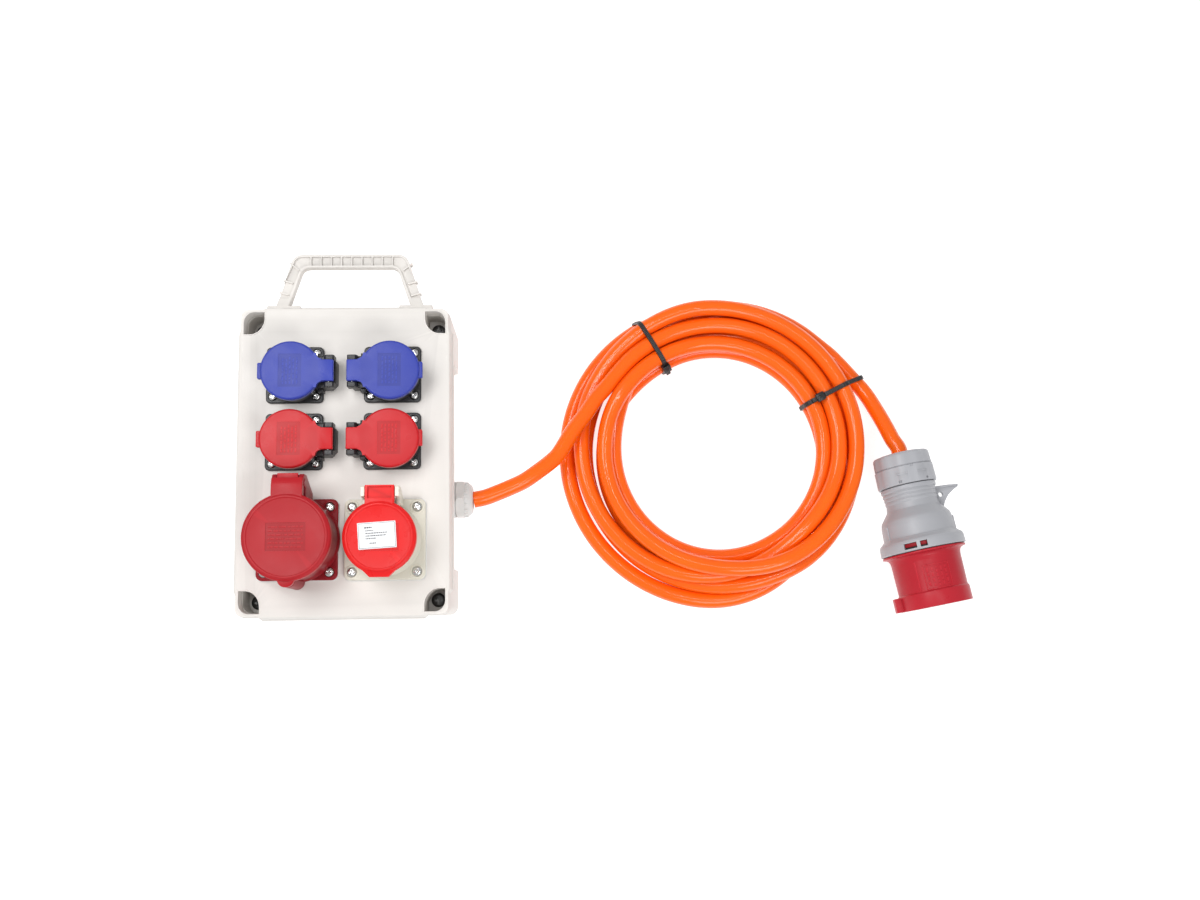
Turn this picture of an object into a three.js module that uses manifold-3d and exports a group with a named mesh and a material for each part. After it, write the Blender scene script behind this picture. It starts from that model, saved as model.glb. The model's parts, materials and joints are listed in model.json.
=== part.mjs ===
// Portable power distribution box: a carry enclosure lying on its back, with four flap-covered
// domestic outlets, a 32 A and a 16 A industrial outlet, a cable gland, five metres of heavy
// supply cord in a tied coil, and a 32 A five-pin plug.
// Millimetres. +Z points out of the lid, +Y towards the carry handle, +X towards the gland.
// The origin is the centre of the enclosure's flat back.
import * as THREE from 'three';
import { mergeVertices } from 'three/addons/utils/BufferGeometryUtils.js';
import Module from 'manifold-3d';

const wasm = await Module();
wasm.setup();

// ---------------------------------------------------------------- driving dimensions
const GAP = 0.3; // between pieces that touch
const OVER = 1; // how far a cutting tool runs past the face it cuts
const WALL = 3;
const BIG = 24; // sides of large, medium and small round shapes
const MID = 16;
const SMALL = 8;

const BASE_W = 185; // across the four corner columns
const BASE_L = 272;
const BASE_H = 93;
const WAIST_W = 177; // between the columns the side walls step in
const COLUMN_Y = 95; // where a corner column starts
const WELL_WALL_X = 64.5; // inner faces of the walls round a corner well
const WELL_WALL_Y = 108.5;
const COLUMN_TOP = 60;
const COLUMN_SKIN_X = 2.4; // walls left round the recess in a corner column
const COLUMN_SKIN_Y = 2.2;
const COLUMN_SKIN_IN = 2.7;
const COLUMN_EDGE = 6.5;
const BASE_EDGE = 8;
const PILOT_R = 2.6; // screw holes in the columns
const PILOT_Z = 40;

const LID_W = 190;
const LID_L = 277;
const LID_Z0 = 91;
const LID_Z1 = 105; // the face that the outlets stand on
const LID_SKIRT = 2.2;
const LID_RIB_Z = 95.2;
const LID_SLOPE = 2.6; // how far the top face stands in from the skirt
const LID_EDGE = 9.6;
const LID_NOTCH = 2.6; // how far the lid's outline steps in round each well
const NOTCH_X = 71.5; // where the steps start
const NOTCH_Y = 115;

const WELL = 17.7; // leaf-shaped corner wells: width, length, centre
const WELL_LENGTH = 19.5;
const WELL_X = 79.6;
const WELL_Y = 122.5;
const WELL_FLOOR = 66;
const WELL_SKIN = 1.2;
const LID_SCREW = { headR: 6.4, headH: 3.7, shankR: 2.2, z0: 43, holeR: 2.7 };

const HANDLE_Z1 = LID_Z0 - GAP;
const HANDLE = {
  x: 1.8, z0: HANDLE_Z1 - 10, z1: HANDLE_Z1, padX: 59, padW: 30, padH: 6, pocketW: 80, pocketH: 3,
  outer: { rise: 53, foot: 67.5, shoulder: 52.6, edge: 13 },
  inner: { rise: 40.8, foot: 57.3, shoulder: 44.6, edge: 8 },
  rim: 1.8, // left standing round the grip pockets
};

const SCHUKO_X = 42.6;
const SCHUKO_Y = { blue: 75.2, red: 16 };
const SCHUKO_AXIS_X = 32.4; // hinge axis from the outlet's centre
const SCHUKO_AXIS_Z = 20.5; // above the lid

const CEE_32 = {
  x: -38.5, y: -69.4, collarR: 35.3, boreR: 33.3, collarTop: 40.5, coverR: 36.9, coverZ0: 42.3,
  coverZ1: 52, axisY: 47.9, axisZ: 41.5, barrelR: 4.6, barrelHalf: 8.7, earT: 4.2, insertR: 28.5,
  insertTop: 29, sleeveCircle: 18, sleeveR: 4, bulgeR: 6.7, bulgeY: -35.9,
};
const CEE_16 = {
  x: 36.8, y: -69.9, collarR: 30.3, boreR: 28.6, collarTop: 31.7, coverR: 31, coverZ0: 33.5,
  coverZ1: 42, axisY: 38.9, axisZ: 34.5, barrelR: 4, barrelHalf: 12.3, earT: 3.6, insertR: 24.2,
  insertTop: 21, sleeveCircle: 15, sleeveR: 3.3, bulgeR: 5, bulgeY: -27,
};
const CEE_FLANGE = 70;
const CEE_FLANGE_T = 4;
const CEE_REAR_R = 31;
const CEE_REAR_Z = -33;

const GLAND = {
  y: -31.2, z: 48, cornerR: 16 / Math.cos(Math.PI / 6), threadR: 12.5, boreR: 8.2, hexH: 5.5,
  nutX: 102, shoulderX: 105.5, endX: 109.6, domeR: 15.6, shoulderR: 14.8, endR: 10.5,
};

const CORD_D = 15;
const CORD_R = CORD_D / 2;
const COIL = { x: 338, y: 15.5, inner: 94, outer: 147, z0: 1.9, z1: 39.4, edge: 7 };
const TIE_ANGLES = { cable_tie_1: 122, cable_tie_2: 26.3 };
const TIE_T = 1.2;
const TIE_GAP = 0.6;
const TIE_W = 4.5;

const PLUG_BACK = new THREE.Vector3(512.1, 7.9, 34); // centre of the cable end
const PLUG_FRONT = new THREE.Vector3(537.7, -134.5, 43.2); // centre of the open end
const PLUG_LENGTH = PLUG_BACK.distanceTo(PLUG_FRONT);
const PLUG_AXIS = PLUG_FRONT.clone().sub(PLUG_BACK).normalize();
// Along the plug from its cable end: the clamp nut's end, the grey housing's end, the insert
// and the pins.
const PLUG_NUT_END = 30.4;
const PLUG_HOUSING_END = 92.9;
const CARRIER_START = 68;
const CARRIER_END = 104;
const PIN_START = 86;
const PIN_END = 137.5;
const PLUG_RIM_START = 131.4;
const PLUG_BORE_R = 29.6;
const PIN_CIRCLE = 18;

// Hand-laid routes of the two stretches of cord that are not in the coil.
const LEAD_POINTS = [
  [GLAND.endX + GAP, GLAND.y, GLAND.z], [121, -28.9, 48], [131.5, -25, 47.6], [144, -19.8, 46.7],
  [156.2, -14, 45.4], [169, -5.2, 43.8], [180.8, 4, 42], [189, 12.3, 40.6],
];
const TAIL_POINTS = [
  [478.4, 82.3, 10], [484.2, 75.1, 11], [489.4, 66.5, 13.4], [494.1, 56.1, 17.3],
  [498.4, 45.4, 22], [502.5, 34.2, 26.7], [506.4, 23.2, 30.8],
];

// ---------------------------------------------------------------- solids and booleans
function toManifold(geometry) {
  const bare = geometry.clone();
  bare.deleteAttribute('normal');
  bare.deleteAttribute('uv');
  const merged = mergeVertices(bare, 1e-4);
  const p = merged.attributes.position;
  const kept = [];
  let volume = 0;
  const corners = [new THREE.Vector3(), new THREE.Vector3(), new THREE.Vector3()];
  for (let i = 0; i < merged.index.count; i += 3) {
    const ids = [0, 1, 2].map((k) => merged.index.getX(i + k));
    if (new Set(ids).size < 3) continue;
    ids.forEach((id, k) => corners[k].fromBufferAttribute(p, id));
    volume += corners[0].dot(corners[1].clone().cross(corners[2]));
    kept.push(ids);
  }
  const outward = volume > 0 ? kept : kept.map(([a, b, c]) => [a, c, b]);
  return new wasm.Manifold(new wasm.Mesh({
    numProp: 3,
    vertProperties: new Float32Array(p.array),
    triVerts: new Uint32Array(outward.flat()),
  }));
}

function toGeometry(manifold) {
  const mesh = manifold.getMesh();
  const geometry = new THREE.BufferGeometry();
  geometry.setAttribute('position', new THREE.BufferAttribute(mesh.vertProperties, 3));
  geometry.setIndex(new THREE.BufferAttribute(mesh.triVerts, 1));
  geometry.computeVertexNormals();
  return geometry;
}

const join = (...parts) => toGeometry(parts.map(toManifold).reduce((a, b) => a.add(b)));
const cut = (body, ...tools) => toGeometry(
  tools.map(toManifold).reduce((a, b) => a.subtract(b), toManifold(body)),
);

function box([x0, x1], [y0, y1], [z0, z1]) {
  const geometry = new THREE.BoxGeometry(x1 - x0, y1 - y0, z1 - z0);
  return geometry.translate((x0 + x1) / 2, (y0 + y1) / 2, (z0 + z1) / 2);
}

// A cylinder or cone from z0 to z1; radiusTop is at z1.
function rodZ(radius, z0, z1, sides = MID, radiusTop = radius) {
  const geometry = new THREE.CylinderGeometry(radiusTop, radius, z1 - z0, sides);
  return geometry.rotateX(Math.PI / 2).translate(0, 0, (z0 + z1) / 2);
}

function rodX(radius, x0, x1, sides = MID, radiusEnd = radius) {
  const geometry = new THREE.CylinderGeometry(radiusEnd, radius, x1 - x0, sides);
  return geometry.rotateZ(-Math.PI / 2).translate((x0 + x1) / 2, 0, 0);
}

function rodY(radius, y0, y1, sides = MID) {
  return new THREE.CylinderGeometry(radius, radius, y1 - y0, sides).translate(0, (y0 + y1) / 2, 0);
}

function roundedRect(w, l, r) {
  const [x, y] = [w / 2, l / 2];
  const shape = new THREE.Shape();
  shape.absarc(x - r, y - r, r, 0, Math.PI / 2);
  shape.absarc(r - x, y - r, r, Math.PI / 2, Math.PI);
  shape.absarc(r - x, r - y, r, Math.PI, Math.PI * 1.5);
  shape.absarc(x - r, r - y, r, Math.PI * 1.5, Math.PI * 2);
  shape.closePath();
  return shape;
}

function polygon(points) {
  return new THREE.Shape(points.map(([x, y]) => new THREE.Vector2(x, y)));
}

function prism(shape, z0, z1, curveSegments = 2) {
  const geometry = new THREE.ExtrudeGeometry(shape, {
    depth: z1 - z0, bevelEnabled: false, curveSegments,
  });
  return geometry.translate(0, 0, z0);
}

// A shape drawn in Y and Z, extruded along X.
function prismX(points, x0, x1) {
  return prism(polygon(points), x0, x1).rotateY(Math.PI / 2).rotateX(Math.PI / 2);
}

function tube(points, radius, steps, sides) {
  const path = new THREE.CatmullRomCurve3(points.map((p) => new THREE.Vector3(...p)));
  const ring = new THREE.Shape();
  ring.absarc(0, 0, radius, 0, Math.PI * 2);
  return new THREE.ExtrudeGeometry(ring, {
    steps, extrudePath: path, bevelEnabled: false, curveSegments: sides / 2,
  });
}

function lathe(profile, sides = BIG) {
  return new THREE.LatheGeometry(profile.map(([r, y]) => new THREE.Vector2(r, y)), sides);
}

function closedRing(profile, sides) {
  return lathe([...profile, profile[0]], sides);
}

// ---------------------------------------------------------------- materials
const finish = (color, roughness, metalness = 0) => () => new THREE.MeshStandardMaterial({
  color, roughness, metalness,
});
const LIGHT_GREY = finish(0xd9d6d0, 0.55);
const BLACK = finish(0x1b1a1a, 0.5);
const BLUE = finish(0x3f4fb4, 0.35);
const RED = finish(0xc8262e, 0.38);
const CRIMSON = finish(0x8f1820, 0.4);
const COVER_CRIMSON = finish(0xb2262d, 0.38);
const SIGNAL_RED = finish(0xe03030, 0.32);
const IVORY = finish(0xdad7ca, 0.5);
const PLUG_GREY = finish(0xa3a4aa, 0.5);
const ORANGE = finish(0xff6a10, 0.25);
const STEEL = finish(0xb9bbbd, 0.3, 1);
const BRASS = finish(0xc2a15a, 0.3, 1);
const RUBBER = finish(0x222222, 0.8);
const GREY_INNER = finish(0x8d8f92, 0.6);

const model = new THREE.Group();

function piece(name, geometry, material, parent = model) {
  const mesh = new THREE.Mesh(geometry, material());
  mesh.name = name;
  parent.add(mesh);
  return mesh;
}

// ---------------------------------------------------------------- enclosure
// A square leaf: its outer corner (+X, +Y) is round, its inner one is a wide arc.
function leaf(side) {
  const half = side / 2;
  const [outer, inner] = [side * 0.5, side * 0.72];
  const shape = new THREE.Shape();
  shape.moveTo(half, -half);
  shape.absarc(half - outer, half - outer, outer, 0, Math.PI / 2);
  shape.lineTo(-half, half);
  shape.absarc(inner - half, inner - half, inner, Math.PI, Math.PI * 1.5);
  shape.closePath();
  return shape;
}

const CORNERS = [[1, 1], [-1, 1], [-1, -1], [1, -1]];

// Runs make(sx, sy) in the +X +Y corner and mirrors the result into all four corners.
function inCorners(make) {
  return CORNERS.map(([sx, sy]) => make().scale(sx, sy, 1));
}

// A rectangle with its four corners notched out, for the seal that passes inside the wells.
function notchedRect(x, y, notchX, notchY) {
  const quarter = [[x, notchY], [notchX, notchY], [notchX, y]];
  const turn = ([sx, sy], flip) => {
    const side = quarter.map(([a, b]) => [a * sx, b * sy]);
    return flip ? side.reverse() : side;
  };
  return polygon(CORNERS.flatMap((corner, i) => turn(corner, i % 2 === 1)));
}

const cavityOutline = () => notchedRect(WAIST_W / 2 - WALL, BASE_L / 2 - WALL, WELL_WALL_X, WELL_WALL_Y);

function baseShell() {
  const waist = (BASE_W - WAIST_W) / 2;
  const steps = [-1, 1].map((s) => box(
    [0, waist + OVER], [-COLUMN_Y, COLUMN_Y], [-OVER, BASE_H + OVER],
  ).translate(s > 0 ? WAIST_W / 2 : -BASE_W / 2 - OVER, 0, 0));
  const wellRecess = inCorners(cornerRecess);
  const pilots = inCorners(() => rodZ(PILOT_R, PILOT_Z, COLUMN_TOP + OVER, SMALL)
    .translate(WELL_X, WELL_Y, 0));
  const glandHole = rodX(GLAND.threadR + 0.4, WAIST_W / 2 - 2 * WALL, WAIST_W / 2 + OVER)
    .translate(0, GLAND.y, GLAND.z);
  return cut(
    prism(roundedRect(BASE_W, BASE_L, BASE_EDGE), 0, BASE_H),
    prism(cavityOutline(), WALL, BASE_H + OVER),
    ...steps,
    ...wellRecess,
    ...pilots,
    glandHole,
  );
}

function cornerRecess() {
  const [x0, x1] = [WELL_WALL_X + COLUMN_SKIN_IN, BASE_W / 2 - COLUMN_SKIN_X];
  const [y0, y1] = [WELL_WALL_Y + COLUMN_SKIN_IN, BASE_L / 2 - COLUMN_SKIN_Y];
  const shape = new THREE.Shape();
  const r = COLUMN_EDGE;
  shape.moveTo(x0, y0);
  shape.lineTo(x1, y0);
  shape.absarc(x1 - r, y1 - r, r, 0, Math.PI / 2);
  shape.lineTo(x0, y1);
  return prism(shape, COLUMN_TOP, BASE_H + OVER);
}

// What the lid's outline loses round a well, outside a rounded corner of its own.
function lidNotch() {
  const corner = roundedRect(LID_W - 2 * LID_NOTCH, LID_L - 2 * LID_NOTCH, LID_EDGE - 1);
  return cut(
    box([NOTCH_X, LID_W], [NOTCH_Y, LID_L], [LID_Z0 - OVER, LID_Z1 + OVER]),
    prism(corner, LID_Z0 - 2 * OVER, LID_Z1 + 2 * OVER),
  );
}

function atWell(geometry) {
  return geometry.scale(1, WELL_LENGTH / WELL, 1).translate(WELL_X, WELL_Y, 0);
}

function lid() {
  const topEdge = LID_EDGE - LID_SLOPE;
  const top = new THREE.ExtrudeGeometry(roundedRect(LID_W - 2 * LID_SLOPE, LID_L - 2 * LID_SLOPE, topEdge), {
    depth: 4, bevelThickness: 6, bevelSize: LID_SLOPE, bevelSegments: 2, curveSegments: 2,
  }).translate(0, 0, LID_Z1 - 10);
  const skirt = prism(roundedRect(LID_W, LID_L, LID_EDGE), LID_Z0, LID_Z1 - 6);
  const below = box([-LID_W, LID_W], [-LID_L, LID_L], [LID_Z0 - 20, LID_Z0]);
  const [insideX, insideY] = [LID_W / 2 - LID_SKIRT, LID_L / 2 - LID_SKIRT];
  const inside = roundedRect(2 * insideX, 2 * insideY, LID_EDGE - LID_SKIRT);
  const seat = prism(inside, LID_Z0 - OVER, BASE_H + GAP);
  const rebate = prism(notchedRect(insideX, insideY, NOTCH_X, NOTCH_Y), LID_Z0 - OVER, LID_RIB_Z);
  const hollow = prism(cavityOutline(), LID_Z0 - OVER, LID_Z1 - WALL);
  const wellOutside = leaf(WELL + 2 * WELL_SKIN);
  const pockets = inCorners(() => atWell(prism(wellOutside, WELL_FLOOR - WALL, LID_Z1 - WALL)));
  const wells = inCorners(() => atWell(prism(leaf(WELL), WELL_FLOOR, LID_Z1 + OVER)));
  const screwHoles = inCorners(() => rodZ(LID_SCREW.holeR, WELL_FLOOR - WALL - OVER, WELL_FLOOR + OVER, SMALL)
    .translate(WELL_X, WELL_Y, 0));
  const outlet = (radius, x, y) => rodZ(radius, LID_Z1 - 2 * WALL, LID_Z1 + OVER).translate(x, y, 0);
  const outlets = schukoPlaces().map(({ x, y }) => outlet(SCHUKO.rearR + 0.4, x, y));
  const industrial = [CEE_32, CEE_16].map(({ x, y }) => outlet(CEE_REAR_R + 0.5, x, y));
  const shell = cut(join(skirt, top), below, seat, rebate, hollow, ...inCorners(lidNotch));
  return cut(join(shell, ...pockets), ...wells, ...screwHoles, ...outlets, ...industrial);
}

function lidGasket() {
  const [x, y] = [WAIST_W / 2, BASE_L / 2];
  const [notchX, notchY] = [WELL_WALL_X + COLUMN_SKIN_IN, WELL_WALL_Y + COLUMN_SKIN_IN];
  const outline = (inset) => notchedRect(x - inset, y - inset, notchX - inset, notchY - inset);
  return cut(
    prism(outline(0.4), BASE_H + GAP, LID_RIB_Z - GAP),
    prism(outline(2.4), BASE_H - OVER, LID_RIB_Z + OVER),
  );
}

function lidScrew() {
  return join(
    rodZ(LID_SCREW.headR, WELL_FLOOR + GAP, WELL_FLOOR + GAP + LID_SCREW.headH, MID),
    rodZ(LID_SCREW.shankR, LID_SCREW.z0, WELL_FLOOR + OVER, SMALL),
  );
}

// ---------------------------------------------------------------- carry handle
function handleOutline({ rise, foot, shoulder, edge }, y0) {
  const top = BASE_L / 2 + rise;
  const lean = Math.atan2(foot - shoulder, top - y0);
  const shape = new THREE.Shape();
  shape.moveTo(-foot, y0);
  shape.lineTo(foot, y0);
  shape.absarc(shoulder - edge, top - edge, edge, lean, Math.PI / 2);
  shape.absarc(edge - shoulder, top - edge, edge, Math.PI / 2, Math.PI - lean);
  return shape;
}

function carryHandle() {
  const h = HANDLE;
  const y0 = BASE_L / 2 + GAP;
  const hoop = cut(
    prism(handleOutline(h.outer, y0), h.z0, h.z1),
    prism(handleOutline(h.inner, y0 - OVER), h.z0 - OVER, h.z1 + OVER),
  );
  const pads = [-h.padX, h.padX].map((x) => box([-h.padW / 2, h.padW / 2], [y0, y0 + h.padH], [h.z0, h.z1])
    .translate(x, 0, 0));
  const pocketY = [BASE_L / 2 + h.inner.rise + h.rim, BASE_L / 2 + h.outer.rise - h.rim];
  const pocket = (z0, z1) => box([-h.pocketW / 2, h.pocketW / 2], pocketY, [z0, z1]);
  const front = pocket(h.z1 - h.pocketH, h.z1 + OVER);
  const back = pocket(h.z0 - OVER, h.z0 + h.pocketH);
  return cut(join(hoop, ...pads), front, back).translate(h.x, 0, 0);
}

// ---------------------------------------------------------------- torsion spring
// A coarse helix wound on a hinge pin along X, centred on the origin.
function torsionSpring(meanRadius, wire, turns, halfLength) {
  const points = [];
  const perTurn = 6;
  for (let i = 0; i <= turns * perTurn; i += 1) {
    const angle = (i / perTurn) * Math.PI * 2;
    const x = halfLength * ((2 * i) / (turns * perTurn) - 1);
    points.push([x, meanRadius * Math.cos(angle), meanRadius * Math.sin(angle)]);
  }
  return tube(points, wire, turns * perTurn, 4);
}

// ---------------------------------------------------------------- domestic outlets
function schukoPlaces() {
  return ['blue', 'red'].flatMap((colour) => [-1, 1].map((side) => ({
    name: `schuko_${colour}_${side < 0 ? 'left' : 'right'}`,
    x: side * SCHUKO_X,
    y: SCHUKO_Y[colour],
    turn: side < 0 ? 0 : Math.PI,
    colour,
  })));
}

const SCHUKO = {
  flange: 50, flangeT: 3.3, collarR: 24.3, collarTop: 18.4, wellR: 19.8, rearR: 21.8, rearZ: -39,
  insertTop: -1, coverR: 25.7, coverZ0: 18.8, coverZ1: 26, barrelR: 3.6, barrelHalf: 9.3,
  blockHalf: 14.1, blockEnd: 37.8, blockTop: 15.4, pinR: 1.3, springHalf: 3.4,
};

// Built round the outlet's axis on the lid's face, with its hinge towards +X.
function schukoBody() {
  const s = SCHUKO;
  const block = prism(polygon([
    [22, -s.blockHalf], [33, -s.blockHalf], [s.blockEnd, -9], [s.blockEnd, 9],
    [33, s.blockHalf], [22, s.blockHalf],
  ]), GAP, s.blockTop);
  const earBase = box([27.6, 36.4], [0, 4.4], [s.blockTop - OVER, SCHUKO_AXIS_Z]);
  const earTop = rodY(4.4, 0, 4.4, 12).translate(SCHUKO_AXIS_X - 0.4, 0, SCHUKO_AXIS_Z);
  const ear = join(earBase, earTop);
  const barrelRoom = rodY(s.barrelR + GAP, -s.barrelHalf - GAP, s.barrelHalf + GAP, 12)
    .translate(SCHUKO_AXIS_X, 0, SCHUKO_AXIS_Z);
  const pinHole = rodY(s.pinR + GAP, -s.blockHalf - OVER, s.blockHalf + OVER, SMALL)
    .translate(SCHUKO_AXIS_X, 0, SCHUKO_AXIS_Z);
  const whole = join(
    prism(roundedRect(s.flange, s.flange, 4), GAP, s.flangeT),
    rodZ(s.collarR, GAP, s.collarTop),
    rodZ(s.rearR, s.rearZ, 1),
    block,
    ear.clone().translate(0, 9.7, 0),
    ear.clone().translate(0, -s.blockHalf, 0),
  );
  return cut(whole, rodZ(s.wellR, s.rearZ + 4, s.collarTop + OVER), barrelRoom, pinHole);
}

function schukoInsert() {
  const s = SCHUKO;
  const face = s.insertTop;
  const holes = [-9.5, 9.5].map((y) => rodZ(2.7, face - 19, face + OVER, SMALL).translate(0, y, 0));
  return cut(rodZ(s.wellR - 2 * GAP, s.rearZ + 4 + GAP, face), ...holes);
}

function schukoCover() {
  const s = SCHUKO;
  const disc = join(
    rodZ(s.coverR, s.coverZ0, s.coverZ1 - 1.4, BIG),
    rodZ(s.coverR, s.coverZ1 - 1.4, s.coverZ1, BIG, s.coverR - 1.6),
  );
  const arm = box([20, SCHUKO_AXIS_X], [-s.barrelHalf, s.barrelHalf], [s.coverZ0, s.coverZ1 - 2]);
  const barrel = rodY(s.barrelR, -s.barrelHalf, s.barrelHalf, 12).translate(SCHUKO_AXIS_X, 0, SCHUKO_AXIS_Z);
  const nib = box([-28.6, -24], [-7, 7], [s.coverZ0 + 0.6, s.coverZ1 - 2]);
  const bore = rodY(s.pinR + GAP, -s.barrelHalf - OVER, s.barrelHalf + OVER, SMALL)
    .translate(SCHUKO_AXIS_X, 0, SCHUKO_AXIS_Z);
  const roomHalf = s.springHalf + 0.5;
  const springRoom = box([SCHUKO_AXIS_X - 4, SCHUKO_AXIS_X + 4], [-roomHalf, roomHalf], [10, 30]);
  const underside = rodZ(s.coverR - 4.4, s.coverZ0 - OVER, s.coverZ0 + 2.6);
  return cut(join(disc, arm, barrel, nib), bore, springRoom, underside);
}

function addSchuko({ name, x, y, turn, colour }) {
  const s = SCHUKO;
  const group = new THREE.Group();
  group.position.set(x, y, LID_Z1);
  group.rotation.z = turn;
  model.add(group);
  piece(`${name}_body`, schukoBody(), BLACK, group);
  piece(`${name}_insert`, schukoInsert(), BLACK, group);
  piece(`${name}_cover`, schukoCover(), colour === 'blue' ? BLUE : RED, group);
  const pinHalf = s.blockHalf - 0.4;
  const pin = piece(`${name}_hinge_pin`, rodY(s.pinR, -pinHalf, pinHalf, SMALL), STEEL, group);
  const spring = piece(`${name}_spring`, torsionSpring(2.2, 0.45, 3, s.springHalf - 0.6), STEEL, group);
  spring.rotation.z = Math.PI / 2;
  [pin, spring].forEach((mesh) => mesh.position.set(SCHUKO_AXIS_X, 0, SCHUKO_AXIS_Z));
}

// ---------------------------------------------------------------- industrial outlets
// Built round the outlet's axis on the lid's face, with its hinge towards +Y.
const sleeveAngles = [0, 1, 2, 3, 4].map((i) => ((i * 72 - 90) * Math.PI) / 180);

function ceeBody(c) {
  const top = c.collarTop;
  const inner = c.barrelHalf + GAP;
  const earProfile = [
    [c.boreR, CEE_FLANGE_T], [c.collarR + 3, CEE_FLANGE_T], [c.axisY + c.barrelR, c.axisZ - 7],
    [c.axisY + c.barrelR, c.axisZ], [c.axisY + c.barrelR * 0.7, c.axisZ + c.barrelR * 0.7],
    [c.axisY, c.axisZ + c.barrelR], [c.axisY - c.barrelR * 0.7, c.axisZ + c.barrelR * 0.7],
    [c.axisY - c.barrelR, c.axisZ], [c.axisY - c.barrelR - 1, top - 5], [c.boreR, top - 5],
  ];
  const outer = inner + c.earT;
  const ears = [[-outer, -inner], [inner, outer]].map(([x0, x1]) => prismX(earProfile, x0, x1));
  const web = prismX([
    [c.boreR, CEE_FLANGE_T], [c.collarR + 2, CEE_FLANGE_T], [c.axisY - c.barrelR, top - 14],
    [c.boreR, top - 9],
  ], -outer, outer);
  const bulge = join(
    rodZ(c.bulgeR, GAP, 22, 12),
    rodZ(c.bulgeR, 22, top, 12, c.bulgeR - 1.6),
  ).translate(0, c.bulgeY, 0);
  const whole = join(
    prism(roundedRect(CEE_FLANGE, CEE_FLANGE, 5), GAP, CEE_FLANGE_T),
    rodZ(c.collarR, GAP, top, BIG),
    rodZ(CEE_REAR_R, CEE_REAR_Z, 1),
    ...ears,
    web,
    bulge,
  );
  const pinHole = rodX(1.6 + GAP, -inner - c.earT - OVER, inner + c.earT + OVER, SMALL)
    .translate(0, c.axisY, c.axisZ);
  return cut(
    whole,
    rodZ(c.boreR, CEE_FLANGE_T, top + OVER, BIG),
    rodZ(c.insertR + 2 * GAP, CEE_REAR_Z + WALL, CEE_FLANGE_T + OVER, BIG),
    rodZ(3.4, CEE_FLANGE_T, top + OVER, SMALL).translate(0, c.bulgeY + 1, 0),
    pinHole,
  );
}

function ceeInsert(c) {
  const sleeves = sleeveAngles.map((angle) => rodZ(c.sleeveR, c.insertTop - 30, c.insertTop + OVER, SMALL)
    .translate(c.sleeveCircle * Math.cos(angle), c.sleeveCircle * Math.sin(angle), 0));
  return cut(rodZ(c.insertR, CEE_REAR_Z + WALL + GAP, c.insertTop, BIG), ...sleeves);
}

function ceeCover(c, nib) {
  const disc = join(
    rodZ(c.coverR, c.coverZ0, c.coverZ1 - 3, BIG),
    rodZ(c.coverR, c.coverZ1 - 3, c.coverZ1 - 1.5, BIG, c.coverR - 0.8),
    rodZ(c.coverR - 3, c.coverZ1 - 2, c.coverZ1, MID, c.coverR - 4),
  );
  const arm = box([-c.barrelHalf, c.barrelHalf], [c.coverR - 8, c.axisY], [c.coverZ0, c.axisZ + c.barrelR]);
  const barrel = rodX(c.barrelR, -c.barrelHalf, c.barrelHalf, 12).translate(0, c.axisY, c.axisZ);
  const bore = rodX(1.6 + GAP, -c.barrelHalf - OVER, c.barrelHalf + OVER, SMALL)
    .translate(0, c.axisY, c.axisZ);
  const springRoom = box([-4.6, 4.6], [c.axisY - c.barrelR - GAP, c.axisY + 6], [c.axisZ - 8, c.axisZ + 8]);
  const sealRoom = rodZ(c.coverR - 7, c.coverZ0 - OVER, c.coverZ0 + 3);
  return cut(join(disc, arm, barrel, nib), bore, springRoom, sealRoom);
}

function coverSeal(c) {
  return cut(
    rodZ(c.collarR, c.collarTop + GAP, c.coverZ0 - GAP),
    rodZ(c.collarR - 4, c.collarTop - OVER, c.coverZ0 + OVER),
  );
}

function addCee(name, c, bodyFinish, coverFinish, nib) {
  const group = new THREE.Group();
  group.position.set(c.x, c.y, LID_Z1);
  model.add(group);
  const pinHalf = c.barrelHalf + c.earT - 0.4;
  piece(`${name}_body`, ceeBody(c), bodyFinish, group);
  piece(`${name}_insert`, ceeInsert(c), BLACK, group);
  piece(`${name}_cover`, ceeCover(c, nib), coverFinish, group);
  piece(`${name}_cover_seal`, coverSeal(c), RUBBER, group);
  const pin = piece(`${name}_hinge_pin`, rodX(1.6, -pinHalf, pinHalf, SMALL), STEEL, group);
  const spring = piece(`${name}_spring`, torsionSpring(2.6, 0.5, 4, 3.4), STEEL, group);
  [pin, spring].forEach((mesh) => mesh.position.set(0, c.axisY, c.axisZ));
}

// ---------------------------------------------------------------- cable gland
function glandBody() {
  const g = GLAND;
  const wall = WAIST_W / 2;
  return cut(
    join(rodX(g.threadR, wall - 11, wall + 3), rodX(g.cornerR, wall + GAP, wall + g.hexH, 6)),
    rodX(g.boreR, wall - 13, wall + 7, 12),
  ).translate(0, g.y, g.z);
}

function glandNut() {
  const g = GLAND;
  const x0 = WAIST_W / 2 + g.hexH + GAP;
  return cut(
    join(
      rodX(g.cornerR, x0, g.nutX, 6),
      rodX(g.domeR, g.nutX - OVER, g.shoulderX, MID, g.shoulderR),
      rodX(g.shoulderR, g.shoulderX, g.endX, MID, g.endR),
    ),
    rodX(g.boreR, x0 - OVER, g.endX + OVER, 12),
  ).translate(0, g.y, g.z);
}

function glandLocknut() {
  const g = GLAND;
  const x1 = WAIST_W / 2 - WALL - GAP;
  return cut(rodX(17.5, x1 - 5, x1, 6), rodX(g.threadR + 2 * GAP, x1 - 7, x1 + OVER)).translate(0, g.y, g.z);
}

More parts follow.
